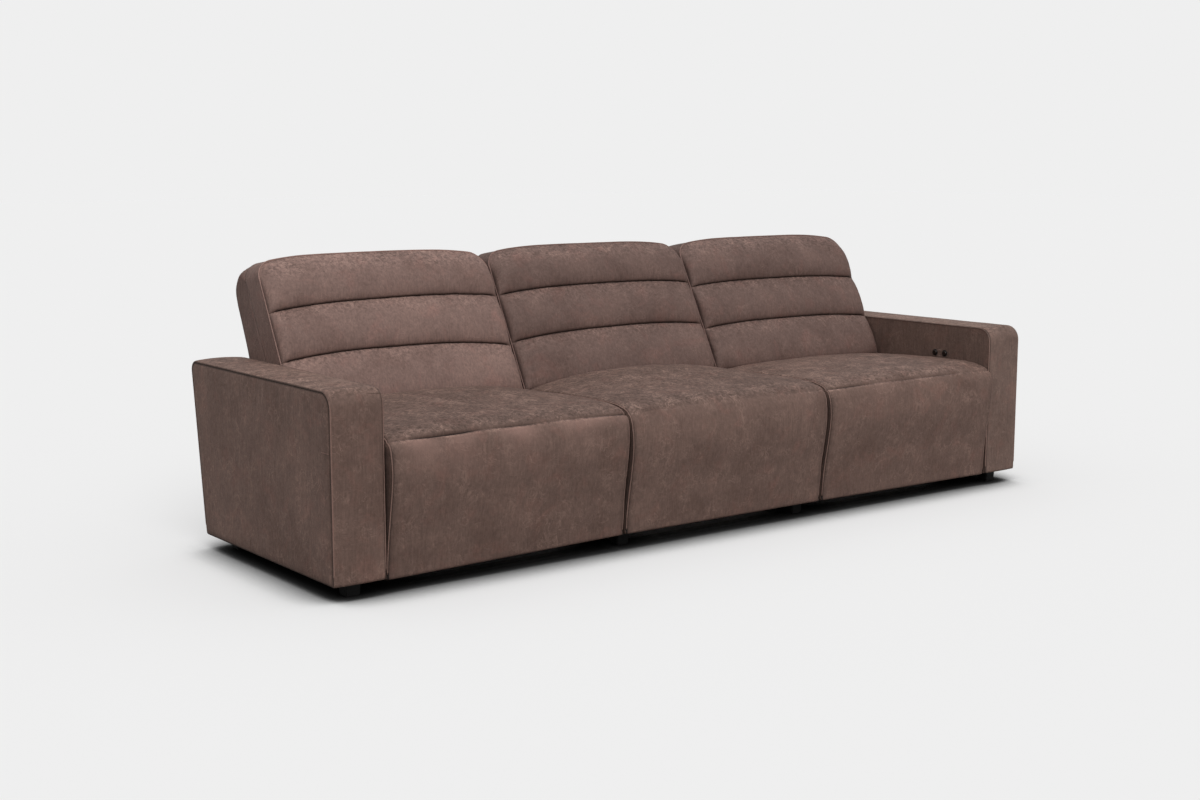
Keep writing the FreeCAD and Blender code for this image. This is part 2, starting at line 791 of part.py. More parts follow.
def spring_path(middle):
    """Bars across, joined by half circles, with a bend into the board at each end."""
    radius = size("spring_pitch") / 2
    reach = size("spring_half_width")
    bend = radius * 0.6
    first = size("seat_frame_front") + size("seat_frame_rail")
    last = size("seat_frame_rear") - size("seat_frame_rail")
    height = size("deck_height") - size("deck_thickness") / 2
    turns = int((last - first - 2 * bend) // (2 * radius))
    y = (first + last) / 2 - turns * radius

    def point(across, along):
        return Vector(middle + across, along, height)

    slant = bend * (1 - math.sqrt(0.5))
    edges = [Part.LineSegment(point(0, first), point(0, y - bend)),
             Part.Arc(point(0, y - bend), point(slant, y - slant), point(bend, y)),
             Part.LineSegment(point(bend, y), point(reach, y))]
    side = 1
    for step in range(turns):
        knee = radius * math.sqrt(0.5)
        tip = point(side * (reach + radius), y + radius)
        edges.append(Part.Arc(point(side * reach, y),
                              point(side * (reach + knee), y + radius - knee), tip))
        edges.append(Part.Arc(tip, point(side * (reach + knee), y + radius + knee),
                              point(side * reach, y + 2 * radius)))
        y += 2 * radius
        stop = side * bend if step == turns - 1 else -side * reach
        edges.append(Part.LineSegment(point(side * reach, y), point(stop, y)))
        side = -side
    edges.append(Part.Arc(point(-side * bend, y), point(-side * slant, y + slant),
                          point(0, y + bend)))
    edges.append(Part.LineSegment(point(0, y + bend), point(0, last)))
    return Part.Wire([edge.toShape() for edge in edges])


def wire_along(path, radius):
    """A round wire swept along a path that starts towards the rear."""
    start = path.Edges[0].Vertexes[0].Point
    ring = Part.Wire([Part.makeCircle(radius, start, Vector(0, 1, 0))])
    return path.makePipeShell([ring], True, False)


def front_board(name, thickness):
    """Board behind a front pad, bevelled to the dividing plane."""
    rise = "tan(hinge_angle)"
    clear = "(leaf_gap + leaf_thickness)/cos(hinge_angle)"
    inner = "hinge_height - (pad_thickness - hinge_depth)*%s - %s" % (rise, clear)
    outer = "hinge_height - (pad_thickness + board_thickness - hinge_depth)*%s - %s" % (rise, clear)
    return plate(name, [
        ("pad_thickness", "front_bottom"),
        ("pad_thickness + %s" % thickness, "front_bottom"),
        ("pad_thickness + %s" % thickness, outer),
        ("pad_thickness", inner)], "module_width - 2*module_gap")


def make_middle_seat():
    node("middle_seat_frame", seat_frame("MiddleSeatFrame"))
    node("middle_seat_springs", seat_springs("MiddleSeatSprings"))
    node("middle_seat_cushion", seat_cushion("MiddleSeatCushion"))
    node("middle_front_pad", front_pad("MiddleFrontPad"))


# Footrest and its hinge

def leaf_box(name, width, start, length, out, thickness, x=None):
    """A strip beside the dividing plane, drawn along it from the hinge."""
    x = "-(%s)/2" % width if x is None else x
    item = turn(box(name, (width, length, thickness), (x, "0", "0")), "-hinge_angle")
    along = "(%s)" % start
    off = "(%s)" % out
    return place(item, x, "hinge_depth + %s*cos(hinge_angle) + %s*sin(hinge_angle)" % (along, off),
                 "hinge_height - %s*sin(hinge_angle) + %s*cos(hinge_angle)" % (along, off))


def hinge_leaf(name, odd, out, reach):
    """One leaf of the piano hinge: a strip, and a knuckle at every second place along the pin."""
    width = "(module_width - 2*module_gap - 2*edge_reach)"
    strip = leaf_box(name + "Strip", width, "hinge_barrel_radius + 2",
                     "%s - hinge_barrel_radius - 2" % reach, out, "leaf_thickness")
    knuckles = []
    bores = []
    count = int(size("knuckle_count"))
    for index in range(odd, count, 2):
        x = "-%s/2 + %s*%d/knuckle_count + knuckle_gap/2" % (width, width, index)
        length = "%s/knuckle_count - knuckle_gap" % width
        knuckles.append(cylinder(name + "Knuckle", "hinge_barrel_radius", length,
                                 (x, "hinge_depth", "hinge_height")))
        knuckles.append(leaf_box(name + "Tab", length, "hinge_pin_radius + 1",
                                 "hinge_barrel_radius", out, "leaf_thickness", x))
    bores.append(wide_rod(name + "Bore", "hinge_pin_radius + hinge_pin_fit", width + " + 2",
                          "hinge_depth", "hinge_height"))
    return cut(name, fuse(name + "Blank", strip, *knuckles), *bores)


def footrest_bracket(side, sign):
    """Lug on the footrest board, with the pin that the drive link turns on."""
    pin = ("hinge_depth + footrest_arm*cos(footrest_arm_angle)",
           "hinge_height - footrest_arm*sin(footrest_arm_angle)")
    foot = "pad_thickness + board_thickness"
    lug = plate(side + "Lug", [
        (foot, "%s - lug_half_height" % pin[1]),
        (foot, "%s + lug_half_height" % pin[1]),
        ("%s + lug_nose" % pin[0], "%s + link_pin_radius" % pin[1]),
        ("%s + lug_nose" % pin[0], "%s - link_pin_radius" % pin[1])],
        "plate_thickness", side_x(sign, "crank_layer", "plate_thickness"))
    length = "link_layer - crank_layer + plate_thickness + 2"
    stud = cylinder(side + "LugPin", "link_pin_radius", length,
                    (side_start(sign, "crank_layer", length), pin[0], pin[1]))
    return fuse(side + "Bracket", lug, stud)


def drive_link(side, sign):
    """Flat link from the footrest bracket to the crank on the torque tube."""
    front = ("hinge_depth + footrest_arm*cos(footrest_arm_angle)",
             "hinge_height - footrest_arm*sin(footrest_arm_angle)")
    rear = ("torque_depth + footrest_arm*cos(footrest_arm_angle)",
            "torque_height - footrest_arm*sin(footrest_arm_angle)")
    bar = plate(side + "Link", [
        (front[0], front[1] + " - link_half_width"),
        (rear[0], rear[1] + " - link_half_width"),
        (rear[0], rear[1] + " + link_half_width"),
        (front[0], front[1] + " + link_half_width")],
        "plate_thickness", side_x(sign, "link_layer", "plate_thickness"))
    start = side_start(sign, "link_layer", "plate_thickness")
    eyes = [cylinder(side + "LinkEye", "link_half_width", "plate_thickness", (start, end[0], end[1]))
            for end in (front, rear)]
    length = "plate_thickness + 2"
    holes = [cylinder(side + "LinkHole", "link_pin_radius + %s" % play, length,
                      (side_start(sign, "link_layer - 1", length), end[0], end[1]))
             for end, play in ((front, "link_pin_play"), (rear, "bearing_fit"))]
    return cut(side + "LinkBored", fuse(side + "LinkBlank", bar, *eyes), *holes)


def torque_tube(side):
    """Tube with a crank plate at each side and a slotted crank in the middle."""
    length = "module_width - 2*carriage_layer"
    tube = cut(side + "Tube",
               wide_rod(side + "TubeBlank", "torque_radius", length, "torque_depth", "torque_height"),
               wide_rod(side + "TubeBore", "torque_radius - tube_wall", length + " + 2",
                        "torque_depth", "torque_height"))
    pin = ("torque_depth + footrest_arm*cos(footrest_arm_angle)",
           "torque_height - footrest_arm*sin(footrest_arm_angle)")
    cranks = []
    for sign in (-1, 1):
        cranks.append(plate(side + "Crank", [
            ("torque_depth - 1.3*torque_radius", "torque_height - 0.6*torque_radius"),
            (pin[0] + " - 10", pin[1] + " - 7"),
            (pin[0] + " + 7", pin[1] + " - 9"),
            (pin[0] + " + 11", pin[1] + " + 3"),
            ("torque_depth + 1.4*torque_radius", "torque_height + 0.4*torque_radius"),
            ("torque_depth + 0.2*torque_radius", "torque_height + 1.4*torque_radius"),
            ("torque_depth - 1.2*torque_radius", "torque_height + torque_radius")],
            "plate_thickness", side_x(sign, "crank_layer", "plate_thickness")))
        reach = "link_layer - crank_layer + plate_thickness + 2"
        cranks.append(cylinder(side + "CrankPin", "link_pin_radius", reach,
                               (side_start(sign, "crank_layer", reach), pin[0], pin[1])))
    cranks_bored = cut(side + "CranksBored", fuse(side + "Cranks", *cranks),
                       wide_rod(side + "CrankBore", "torque_radius - tube_wall/2", length,
                                "torque_depth", "torque_height"))
    return fuse(side + "TorqueTube", tube, cranks_bored, slot_crank(side))


def slot_crank(side):
    """Crank whose slot takes the actuator pin: drawn along its slot, then turned about the tube."""
    half = "slot_crank_half_width"
    bar = wide_box(side + "SlotBar", "slot_crank_thickness", "slot_crank_reach", "2*" + half,
                   "0", "-" + half)
    slot = wide_box(side + "Slot", "slot_crank_thickness + 2", "slot_crank_reach",
                    "2*slot_half_width", "slot_start", "-slot_half_width")
    eye = wide_rod(side + "SlotEye", half, "slot_crank_thickness", "0", "0")
    bore = wide_rod(side + "SlotEyeBore", "torque_radius - tube_wall/2", "2*slot_crank_thickness",
                    "0", "0")
    crank = cut(side + "SlotCrank", fuse(side + "SlotBlank", bar, eye), slot, bore)
    turn(crank, "footrest_swing/2 - 90")
    return place(crank, "0", "torque_depth", "torque_height")


def actuator(side):
    """Linear actuator on the rear cross tube: outer tube, gearbox and motor."""
    height = "torque_height - rod_drop"
    length = "actuator_gearbox - actuator_front"
    tube = cylinder(side + "ActuatorTube", "actuator_radius", length,
                    ("0", "actuator_front", height), "y")
    gearbox = wide_box(side + "Gearbox", "2*gearbox_half_width",
                       "pivot_depth + motor_bridge - actuator_gearbox",
                       "2*gearbox_half_height", "actuator_gearbox", height + " - gearbox_half_height")
    motor = cylinder(side + "Motor", "motor_radius", length + " - motor_setback",
                     ("0", "actuator_front + motor_setback", height + " + motor_rise"), "y")
    bridge = wide_box(side + "MotorBridge", "actuator_radius", "motor_bridge", "motor_rise",
                      "actuator_gearbox - motor_bridge", height)
    bore = cylinder(side + "ActuatorBore", "rod_radius + rod_fit", length + " + 10",
                    ("0", "actuator_front - 5", height), "y")
    eye = wide_rod(side + "ActuatorEye", "cross_tube_radius + slide_fit", "3*gearbox_half_width",
                   "pivot_depth", "rear_tube_height")
    return cut(side + "Actuator", fuse(side + "ActuatorBlank", tube, gearbox, motor, bridge),
               bore, eye)


def actuator_rod(side):
    """Rod with a fork whose pin runs in the slotted crank."""
    height = "torque_height - rod_drop"
    pin_depth = "torque_depth + rod_stroke/2"
    start = pin_depth + " + fork_length"
    gap = "slot_crank_thickness/2 + fork_gap"
    rod = cylinder(side + "Rod", "rod_radius", "actuator_gearbox - (%s) - 4" % start,
                   ("0", start, height), "y")
    block = wide_box(side + "ForkBlock", "2*(%s + fork_cheek)" % gap, "fork_block",
                     "3*rod_radius", start, height + " - 1.5*rod_radius")
    cheeks = pair(lambda sign: box(
        side + "Cheek", ("fork_cheek", "fork_length + fork_overhang", "2*fork_half_height"),
        (("%s" if sign > 0 else "-(%s) - fork_cheek") % gap, pin_depth + " - fork_overhang",
         height + " - fork_half_height")))
    pin = wide_rod(side + "RodPin", "rod_pin_radius", "2*(%s + fork_cheek)" % gap, pin_depth, height)
    return fuse(side + "ActuatorRod", rod, block, pin, *cheeks)


# Carriage

def carriage_frame(side):
    """Side plates with their slide bars, and the two cross tubes between them."""
    pieces = []
    slide_bottom = "guide_bottom + guide_wall + slide_fit"
    bar_height = "guide_height - 2*guide_wall - 2*slide_fit"
    bar_depth = "carriage_layer - panel_thickness - guide_wall - slide_fit"
    for sign in (-1, 1):
        web = plate(side + "CarriagePlate", [
            ("carriage_front", "carriage_web_bottom"),
            ("slide_bar_front", "carriage_web_bottom"),
            ("slide_bar_front", slide_bottom),
            ("pivot_depth + upright_half_width", slide_bottom),
            ("pivot_depth + upright_half_width", "pivot_height"),
            ("pivot_depth - upright_half_width", "pivot_height"),
            ("pivot_depth - upright_half_width", "deck_height - deck_thickness"),
            ("carriage_front", "deck_height - deck_thickness")],
            "plate_thickness", side_x(sign, "carriage_layer", "plate_thickness"))
        head = cylinder(side + "CarriageHead", "upright_half_width", "plate_thickness",
                        (side_start(sign, "carriage_layer", "plate_thickness"), "pivot_depth",
                         "pivot_height"))
        through = "3*plate_thickness"
        holes = [cylinder(side + "CarriageHole", radius, through,
                          (side_start(sign, "carriage_layer - plate_thickness", through), y, z))
                 for radius, y, z in (
                     ("torque_radius + bearing_fit", "torque_depth", "torque_height"),
                     ("pivot_pin_radius + bearing_fit", "pivot_depth", "pivot_height"))]
        pieces.append(cut(side + "CarriageSide", fuse(side + "CarriageBlank", web, head), *holes))
        pieces.append(box(
            side + "SlideBar", (bar_depth, "slide_bar_rear - slide_bar_front", bar_height),
            (side_start(sign, "panel_thickness + guide_wall + slide_fit", bar_depth),
             "slide_bar_front", slide_bottom)))
    length = "module_width - 2*carriage_layer - 2*plate_thickness"
    for y, z in (("front_tube_depth", "front_tube_height"), ("pivot_depth", "rear_tube_height")):
        pieces.append(cut(
            side + "CrossTube",
            wide_rod(side + "CrossBlank", "cross_tube_radius", length, y, z),
            wide_rod(side + "CrossBore", "cross_tube_radius - tube_wall", length + " + 2", y, z)))
    return group(side + "CarriageFrame", *pieces)


def bracket_outline(front):
    """Foot of a back bracket under the back frame, and its upright along the frame's stile."""
    return [(front, "-back_eye_radius"),
            ("back_bracket_reach", "-back_eye_radius"),
            ("back_bracket_reach", "back_bracket_rise"),
            ("back_bracket_step", "back_bracket_rise"),
            ("back_bracket_step", "-1"),
            (front, "-1")]


def back_bracket(side, sign):
    """Steel bracket on the back frame, drawn about the pivot, with its shoulder pin."""
    arm = plate(side + "BackBracket", bracket_outline("0"), "plate_thickness",
                side_x(sign, "crank_layer", "plate_thickness"))
    eye = cylinder(side + "BackEye", "back_eye_radius", "plate_thickness",
                   (side_start(sign, "crank_layer", "plate_thickness"), "0", "0"))
    length = "crank_layer - carriage_layer + plate_thickness + 3"
    pin = cylinder(side + "PivotPin", "pivot_pin_radius", length,
                   (side_start(sign, "carriage_layer - 2", length), "0", "0"))
    return fuse(side + "Bracket", arm, eye, pin)


# Backs

def back_frame(name):
    """Two stiles and three rails, inside the cover."""
    start = "back_cushion_thickness - back_face + 1"
    stile_layer = "crank_layer + plate_thickness"
    stile_top = "back_top - back_frame_drop"
    pieces = pair(lambda sign: box(
        name + "Stile", ("back_stile_width", "back_stile_depth", stile_top + " - back_frame_foot"),
        (side_start(sign, stile_layer, "back_stile_width"), start, "back_frame_foot")))
    width = "module_width - 2*(%s) - 2*back_stile_width" % stile_layer
    for level in ("back_frame_foot", "(back_top - back_rail_height)/2", stile_top + " - back_rail_height"):
        pieces.append(wide_box(name + "Rail", width, "back_rail_depth", "back_rail_height",
                               start, level))
    return group(name, *pieces)


def back_notches(name, top, start):
    """Room at both sides for the carriage plates and the back brackets."""
    return pair(lambda sign: box(
        name + "Notch", ("notch_width", "2*cover_base_depth", "cover_base_depth"),
        (side_start(sign, "0", "notch_width"), start, "(%s) - cover_base_depth" % top)))


def back_cushion(name):
    notches = back_notches(name, "0", "-cover_base_depth")
    wells = pair(lambda sign: cylinder(
        name + "Well", "notch_height", "notch_width",
        (side_start(sign, "0", "notch_width"), "0", "0")))
    return cut(name, back_cushion_form(name + "Form"), *(notches + wells))


def back_cover(name):
    """Rear cover: a shell with its sides, top and rear, open towards the cushion."""
    rim = "back_cushion_thickness - back_face"
    room = plate(name + "Room", [
        ("%s - 1" % rim, "-back_face/2"),
        ("cover_base_depth - cover_wall", "cover_base_height + cover_wall/2"),
        ("cover_waist_depth - cover_wall", "cover_waist_height"),
        ("cover_top_depth - cover_wall", "back_top - cover_top_drop - cover_wall/2"),
        ("(2*%s + cover_top_depth)/3" % rim, "back_top + back_top_roll - cover_wall"),
        ("%s - 1" % rim, "back_top + back_top_roll - 3*cover_wall/2")],
        "module_width - 2*module_gap - 2*cover_wall")
    notches = back_notches(name, "notch_height", rim + " - 1")
    return cut(name, back_cover_form(name + "Form", cushion_half()), room, *notches)


def make_back(side, x):
    name = side.capitalize()
    back_node(side + "_back_frame", back_frame(name + "BackFrame"), x)
    back_node(side + "_back_cushion", back_cushion(name + "BackCushion"), x)
    back_node(side + "_back_cover", back_cover(name + "BackCover"), x)


def make_recliner(side, x):
    name = side.capitalize()
    node(side + "_carriage_frame", carriage_frame(name), x)
    node(side + "_seat_frame", seat_frame(name + "SeatFrame"), x)
    node(side + "_seat_springs", seat_springs(name + "SeatSprings"), x)
    node(side + "_seat_cushion", seat_cushion(name + "SeatCushion"), x)
    seat_leaf = hinge_leaf(name + "SeatLeaf", 0, "leaf_gap", "leaf_reach")
    tab_height = "hinge_height - (seat_frame_front - hinge_depth - 3)*tan(hinge_angle) + 3"
    tab = wide_box(name + "LeafTab", "module_width - 2*module_gap - 2*edge_reach", "3",
                   "deck_height - (%s)" % tab_height, "seat_frame_front - 3", tab_height)
    pin = wide_rod(name + "HingePin", "hinge_pin_radius",
                   "module_width - 2*module_gap - 2*edge_reach", "hinge_depth", "hinge_height")
    node(side + "_hinge_seat_leaf",
         group(name + "HingeSeat", fuse(name + "SeatLeafTabbed", seat_leaf, tab), pin), x)
    node(side + "_hinge_footrest_leaf",
         hinge_leaf(name + "FootrestLeaf", 1, "-leaf_gap - leaf_thickness", "leaf_reach"), x)
    node(side + "_footrest_board", front_board(name + "FootrestBoard", "board_thickness"), x)
    node(side + "_footrest_pad", front_pad(name + "FootrestPad"), x)
    node(side + "_footrest_brackets",
         group(name + "FootrestBrackets", *pair(lambda sign: footrest_bracket(name, sign))), x)
    node(side + "_torque_tube", torque_tube(name), x)
    node(side + "_drive_links", group(name + "DriveLinks", *pair(lambda s: drive_link(name, s))), x)
    node(side + "_actuator", actuator(name), x)
    node(side + "_actuator_rod", actuator_rod(name), x)
    make_back(side, x)
    back_node(side + "_back_brackets",
              group(name + "BackBrackets", *pair(lambda sign: back_bracket(name, sign))), x)


def make_middle_posts():
    """Posts on the middle base that hold the fixed back's brackets."""
    pieces = []
    for sign in (-1, 1):
        width = "crank_layer - panel_thickness"
        pieces.append(box(
            "MiddlePost", (width, "middle_post_depth", "pivot_height + middle_post_rise - 2*foot_height"),
            (side_start(sign, "panel_thickness", width), "pivot_depth - middle_post_front",
             "2*foot_height")))
        pieces.append(turned_bracket(sign))
    node("middle_back_supports", group("MiddleBackSupports", *pieces))


def turned_bracket(sign):
    """The bracket of a fixed back, tilted to its rake."""
    arm = plate("MiddleBracket", bracket_outline("-middle_post_front"), "plate_thickness",
                side_x(sign, "crank_layer", "plate_thickness"), "pivot_depth", "pivot_height")
    return turn(arm, "-back_rake")


def make_electrics():
    """Control box on the right base's rear rail, and the low-voltage inlet on the rear panel."""
    control = box("ControlBox", ("control_box_width", "control_box_depth", "control_box_height"),
                  ("module_width - control_box_width/2",
                   "panel_rear - rail_board_depth - control_box_depth",
                   "foot_height + control_box_rise"))
    face = "panel_rear + rear_panel_thickness"
    blank = box("InletBlank", ("inlet_size", "inlet_depth", "inlet_size"),
                ("module_width - inlet_size/2", face, "foot_height + inlet_rise"))
    bore = cylinder("InletBore", "inlet_bore", "inlet_depth - 1",
                    ("module_width", face + " + 1", "foot_height + inlet_rise + inlet_size/2"), "y")
    node("control_box", group("ControlBoxes", control, cut("Inlet", blank, bore)))


# Build and check

for arm_side, arm_sign in (("left", -1), ("right", 1)):
    make_arm(arm_side, arm_sign)
make_feet()
make_base()
make_middle_seat()
make_back("middle", "0")
make_middle_posts()
make_recliner("left", "-module_width")
make_recliner("right", "module_width")
make_electrics()
doc.recompute()

faults = [item.Name for item in doc.Objects if {"Invalid", "Error"} & set(item.State)]
for item in NODES:
    if item.Shape.isNull() or not item.Shape.isValid():
        faults.append(item.Label)
if faults:
    raise RuntimeError("failed: " + ", ".join(faults))

os.makedirs("parts", exist_ok=True)
for item in NODES:
    item.Shape.exportStep("parts/%s.step" % item.Label)
print(len(NODES), "nodes")
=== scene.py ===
import bmesh
import bpy
import json
import math
import numpy as np
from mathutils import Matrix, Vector, noise


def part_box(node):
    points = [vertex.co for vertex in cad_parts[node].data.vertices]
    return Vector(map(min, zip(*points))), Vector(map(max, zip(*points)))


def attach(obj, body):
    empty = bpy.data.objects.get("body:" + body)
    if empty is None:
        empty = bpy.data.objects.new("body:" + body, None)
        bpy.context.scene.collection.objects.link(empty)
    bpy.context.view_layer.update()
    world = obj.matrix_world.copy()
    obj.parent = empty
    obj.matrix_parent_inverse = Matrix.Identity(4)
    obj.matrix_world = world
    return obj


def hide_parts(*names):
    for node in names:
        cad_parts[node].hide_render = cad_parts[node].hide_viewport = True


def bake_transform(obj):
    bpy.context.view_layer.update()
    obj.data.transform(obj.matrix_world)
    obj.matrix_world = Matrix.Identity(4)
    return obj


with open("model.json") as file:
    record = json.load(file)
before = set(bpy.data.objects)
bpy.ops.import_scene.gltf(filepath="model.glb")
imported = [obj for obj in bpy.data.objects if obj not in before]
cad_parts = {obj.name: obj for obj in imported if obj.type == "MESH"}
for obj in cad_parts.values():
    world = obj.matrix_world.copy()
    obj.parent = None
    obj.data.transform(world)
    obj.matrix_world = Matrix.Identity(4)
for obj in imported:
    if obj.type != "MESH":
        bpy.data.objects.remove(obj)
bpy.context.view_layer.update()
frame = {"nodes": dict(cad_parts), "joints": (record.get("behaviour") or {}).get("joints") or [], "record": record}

# Sizes are in millimetres in a module's own frame: x across from the module's middle, depth back
# from the front plane of the arms, and height above the floor. MM turns them into metres.
MM = 0.001
FRONT_SETBACK = 458
SIDES = ("left", "middle", "right")
JOINTS = {joint["name"]: joint for joint in frame["joints"]}


def middle_of(node):
    low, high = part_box(node)
    return (low + high) / 2


def joint_place(name):
    """Depth and height of a joint's axis in its module."""
    place = JOINTS[name]["pos_m"]
    return np.array([place[1] / MM + FRONT_SETBACK, place[2] / MM])


MODULE_X = {side: middle_of(side + "_seat_cushion").x / MM for side in SIDES}
ARM_X = {side: middle_of(side + "_arm_cover").x / MM for side in ("left", "right")}
CUSHION_HALF = (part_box("middle_seat_cushion")[1].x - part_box("middle_seat_cushion")[0].x) / 2 / MM
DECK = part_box("middle_seat_frame")[1].z / MM
HINGE = joint_place("left_footrest_swing")
PIVOT = joint_place("left_recline")
BACK_RAKE = 27.5

# Seats. The profile runs from the rear foot over the top and the nose to the bottom of the front.
SEAT_PROFILE = [(551, 354), (539, 372), (533, 400), (534, 424), (540, 441), (500, 446),
                (430, 451), (330, 456), (220, 459), (130, 460), (75, 458), (42, 453), (14, 445),
                (-5, 433), (-17, 414), (-24, 388), (-28, 352), (-26, 308), (-18, 255), (-7, 190),
                (0, 130), (4, 85), (5, 62), (6, 54), (11, 52)]
SEAT_STEP = 6
SEAM_STEP = 1.4
SEAT_REAR_EDGE = 441
SEAT_CROWN = 10
FRONT_CROWN = 5
HEM = {"left": (39, 51), "middle": (51, 49), "right": (49, 42)}
HEM_HEIGHT = 52
REAR_CROWN = {"left": 31, "middle": 39, "right": 9}
EDGE_ROUND = 15
PIPED_COLUMN = 3
CORNER_CENTRE = (92, 321)
CORNER_RADIUS = 32
FOLD = (-5, 434)
FOLD_DEPTH = {"left": 6.5, "middle": 1.2, "right": 4.0}
FOLD_WIDTH = 5.5
LIP = 5
LIP_REACH = 26
GROOVE = 6
WAIST = 2.5
WAIST_HEIGHT = 265
WAIST_REACH = 120
# Painted light on a seat's front: painted shade at its sides, low on its front and over its top, and on its nose
# rubbed wear together with a painted highlight
SIDE_SHADE = 0.55
SIDE_SHADE_WIDTH = 13
LOW_SHADE = {"left": 0.1, "middle": 0.04, "right": 0.0}
TOP_SHADE = {"left": 0.26, "middle": 0.26, "right": 0.16}
NOSE_RUB_AND_HIGHLIGHT = {"left": 0.85, "middle": 0.2, "right": 0.2}
NOSE_START = 8
NOSE_REACH = 55
BLEND_REACH = 27
HINGE_ANGLE = 50
SEAT_OUTLINE_POINTS = 1500
SEAT_COLUMNS = 112
FOLD_REACH = 20
CROWN_POWER = 2.6
SEAT_TOP_START = 120
SEAT_FRONT_END = 60
# Painted shade on a seat's side walls, in the gaps between seats
SEAT_WALL_SHADE = -0.62
SEAT_PIPING_ROWS = slice(12, -3)
SEAT_PIPING_HIGHLIGHT = 0.4
# A fade is where a share leaves 0, and how far on it is 1. It is less than 0 for the other way.
TOP_FADE = (FOLD[1] - 14, 26)
TOP_TONE_FADE = (FOLD[1] - 6, 12)
FRONT_FADE = (52, 90)
REAR_FADE = (150, 330)
FOOT_FADE = (400, 41)
HEM_FADE = (150, -95)
LOW_FADE = (330, -280)
SIDE_FADE = (FOLD[1], -30)
OPEN_EDGE_FADE = (0, 16)
GATHER_FADE = (0, 60)
STITCH_FADE = (0.1, 1)
# Waves: how the grid is stretched first, their reach, what is added to the seed, and their height.
SEAT_WAVES = (((1, 1, 1), 170, 0, 2.6), ((1, 2.2, 1), 75, 9, 1.3))
SEAT_PUCKERS = (((1, 0, 0), 17, 30, 1),)
SEAT_GATHERS = (((0, 1, 1), 15, 40, 1.1),)
FOLD_CHANGE = (((1, 0, 0), 210, 60, 1),)
NOSE_CHANGE = (((1, 1, 1), 110, 50, 1),)
# A patchy share: its middle, its swing, and the least and the most that it may be.
FOLD_PATCHES = (0.8, 1.6, 0.25, 1.3)
NOSE_PATCHES = (0.6, 1.5, 0, 1.4)
CALM_PATCHES = (1.25, -1, 0.2, 1)
PUCKER_REACH = 20

# Painted shade along sewn lines: in the seams' grooves and beside the seat piping
STITCH_SHADE = 0.95
STITCH_WIDTH = 2.8
PIPE_SHADE = 0.75
PIPE_SPREAD = 1.6

# Backs, drawn upright about the pivot. A seam is its height at the left end, at the right end, and
# its rise between them.
BACK_FACE = 62
BACK_REAR = 33
SEAM_DEPTH = 5.5
BAND_BULGE = 29
BAND_SKEW = 0.86
BAND_POWER = 0.56
BAND_START = 12
SEAM_POWER = 2.8
LOW_SEAM = {"left": (178, 175, 27), "middle": (185, 198, 22), "right": (176, 175, 19)}
HIGH_SEAM = {"left": (344, 355, 22), "middle": (357, 362, 20), "right": (344, 340, 17)}
BACK_TOP = 523
TOP_ARCH = 27
TOP_ROLL = 22
TOP_CORNER = 55
TOP_CORNER_END = 0.9995
BAND_END = 40
COVER_TOP_DEPTH = 121
COVER_TOP_DROP = 32
COVER_ROWS = 84
BACK_COLUMNS = 104
BACK_EDGE_TURNS = (6, 90, 12)
FOOT_ROWS = 16
BAND_ROWS = 38
TOP_DROP = 8
TOP_POWER = 5
PIPING_START = 18
PUCKER_SPREAD = 24
GATHER_SPREAD = 28
# Painted shade along the side edges of a back's bands
EDGE_SHADE = 0.6
EDGE_SHADE_WIDTH = 3.5
TOP_RUB = 0.25
BACK_WAVE_FADE = (20, 60)
SEAM_END_FADE = (9, 14)
TOP_RUB_FADE = (430, 70)
BACK_WAVES = (((1, 1, 1), 150, 0, 2.2), ((1, 1, 0.6), 55, 5, 1.0))
BACK_PUCKERS = (((1, 0, 0.25), 16, 9, 2.2),)
BACK_GATHERS = (((0, 0, 1), 15, 12, 1.6),)
TOP_CHANGE = (((1, 1, 1), 60, 2, 1),)
BACK_SEED = 20
# Painted shade on the side walls of the back cushions and their rear covers
BACK_WALL_SHADE = -0.2
COVER_WALL_SHADE = -0.08
COVER_WAIST = (134, 284)
COVER_BASE = (188, 43)

# Arms
ARM_WIDTH = 165
ARM_CROWN = 4
ARM_EDGE = 9
ARM_DRAW = 4.5
ARM_PUFF = 5.5
ARM_ROLL = 34
ARM_CORNERS = [(0, 45, 4), (835, 45, 8), (908, 585, 28), (0, 585, 48)]
ARM_GRID = (106, 70, 106, 70)
ARM_EDGE_RINGS = 5
ARM_BAND_RINGS = 15
PANEL_INSET = 2
ARM_WAVES = (((1, 1, 1), 150, 60, 1.8), ((0, 1, 0.35), 40, 70, 0.6))
ARM_TOP_WAVES = (((1, 1, 1), 120, 80, 1.4),)
ARM_TOP_START = 500
# Painted shade on an arm's inner panel and along its inner edge, a painted shadow under the piping round the outer
# panel, and softer painted shade spreading in from it
INNER_PANEL_SHADE = -0.3
INNER_EDGE_SHADE = -0.7
ARM_EDGE_SHADOW = 0.9
ARM_EDGE_SHADOW_WIDTH = 3.4
ARM_SHADE = 0.16
ARM_SHADE_WIDTH = 20
ARM_CORD_OUT = 2.2
ARM_CORD_START = 3
# Painted shade on the top run of an arm's cords; their front run gets a painted highlight instead
ARM_CORD_TOP_SHADE = -0.35
ARM_FRONT_END = 100
ARM_FRONT_FADE = (565, -30)
CROSS_SEAM_TURN = 42
CROSS_SEAM_MARGIN = 4
CROSS_SEAM_POINTS = 60
CROSS_SEAM_SINK = 0.1
# The cross seam wanders by so many degrees, over so many millimetres, along this row of the noise.
WANDER = (1.6, 12, 3.3)
TACK_START = 9
TACK_POINTS = 14
TACK_SINK = 1.8
TACK_HEIGHT = 416
BUTTON_HOLE = 11.2
HOLE_SIDES = 16
TACK_LENGTH = 40

# Rear panels of the base
PANEL_ROUND = 8
PANEL_COLUMNS = 60
PANEL_ROWS = 30
PANEL_FOOT_TURNS = (10, 90, 6)
PANEL_TOP_TURNS = (0, 80, 6)
PANEL_WAVES = (((1, 1, 1), 120, 40, 1.2),)

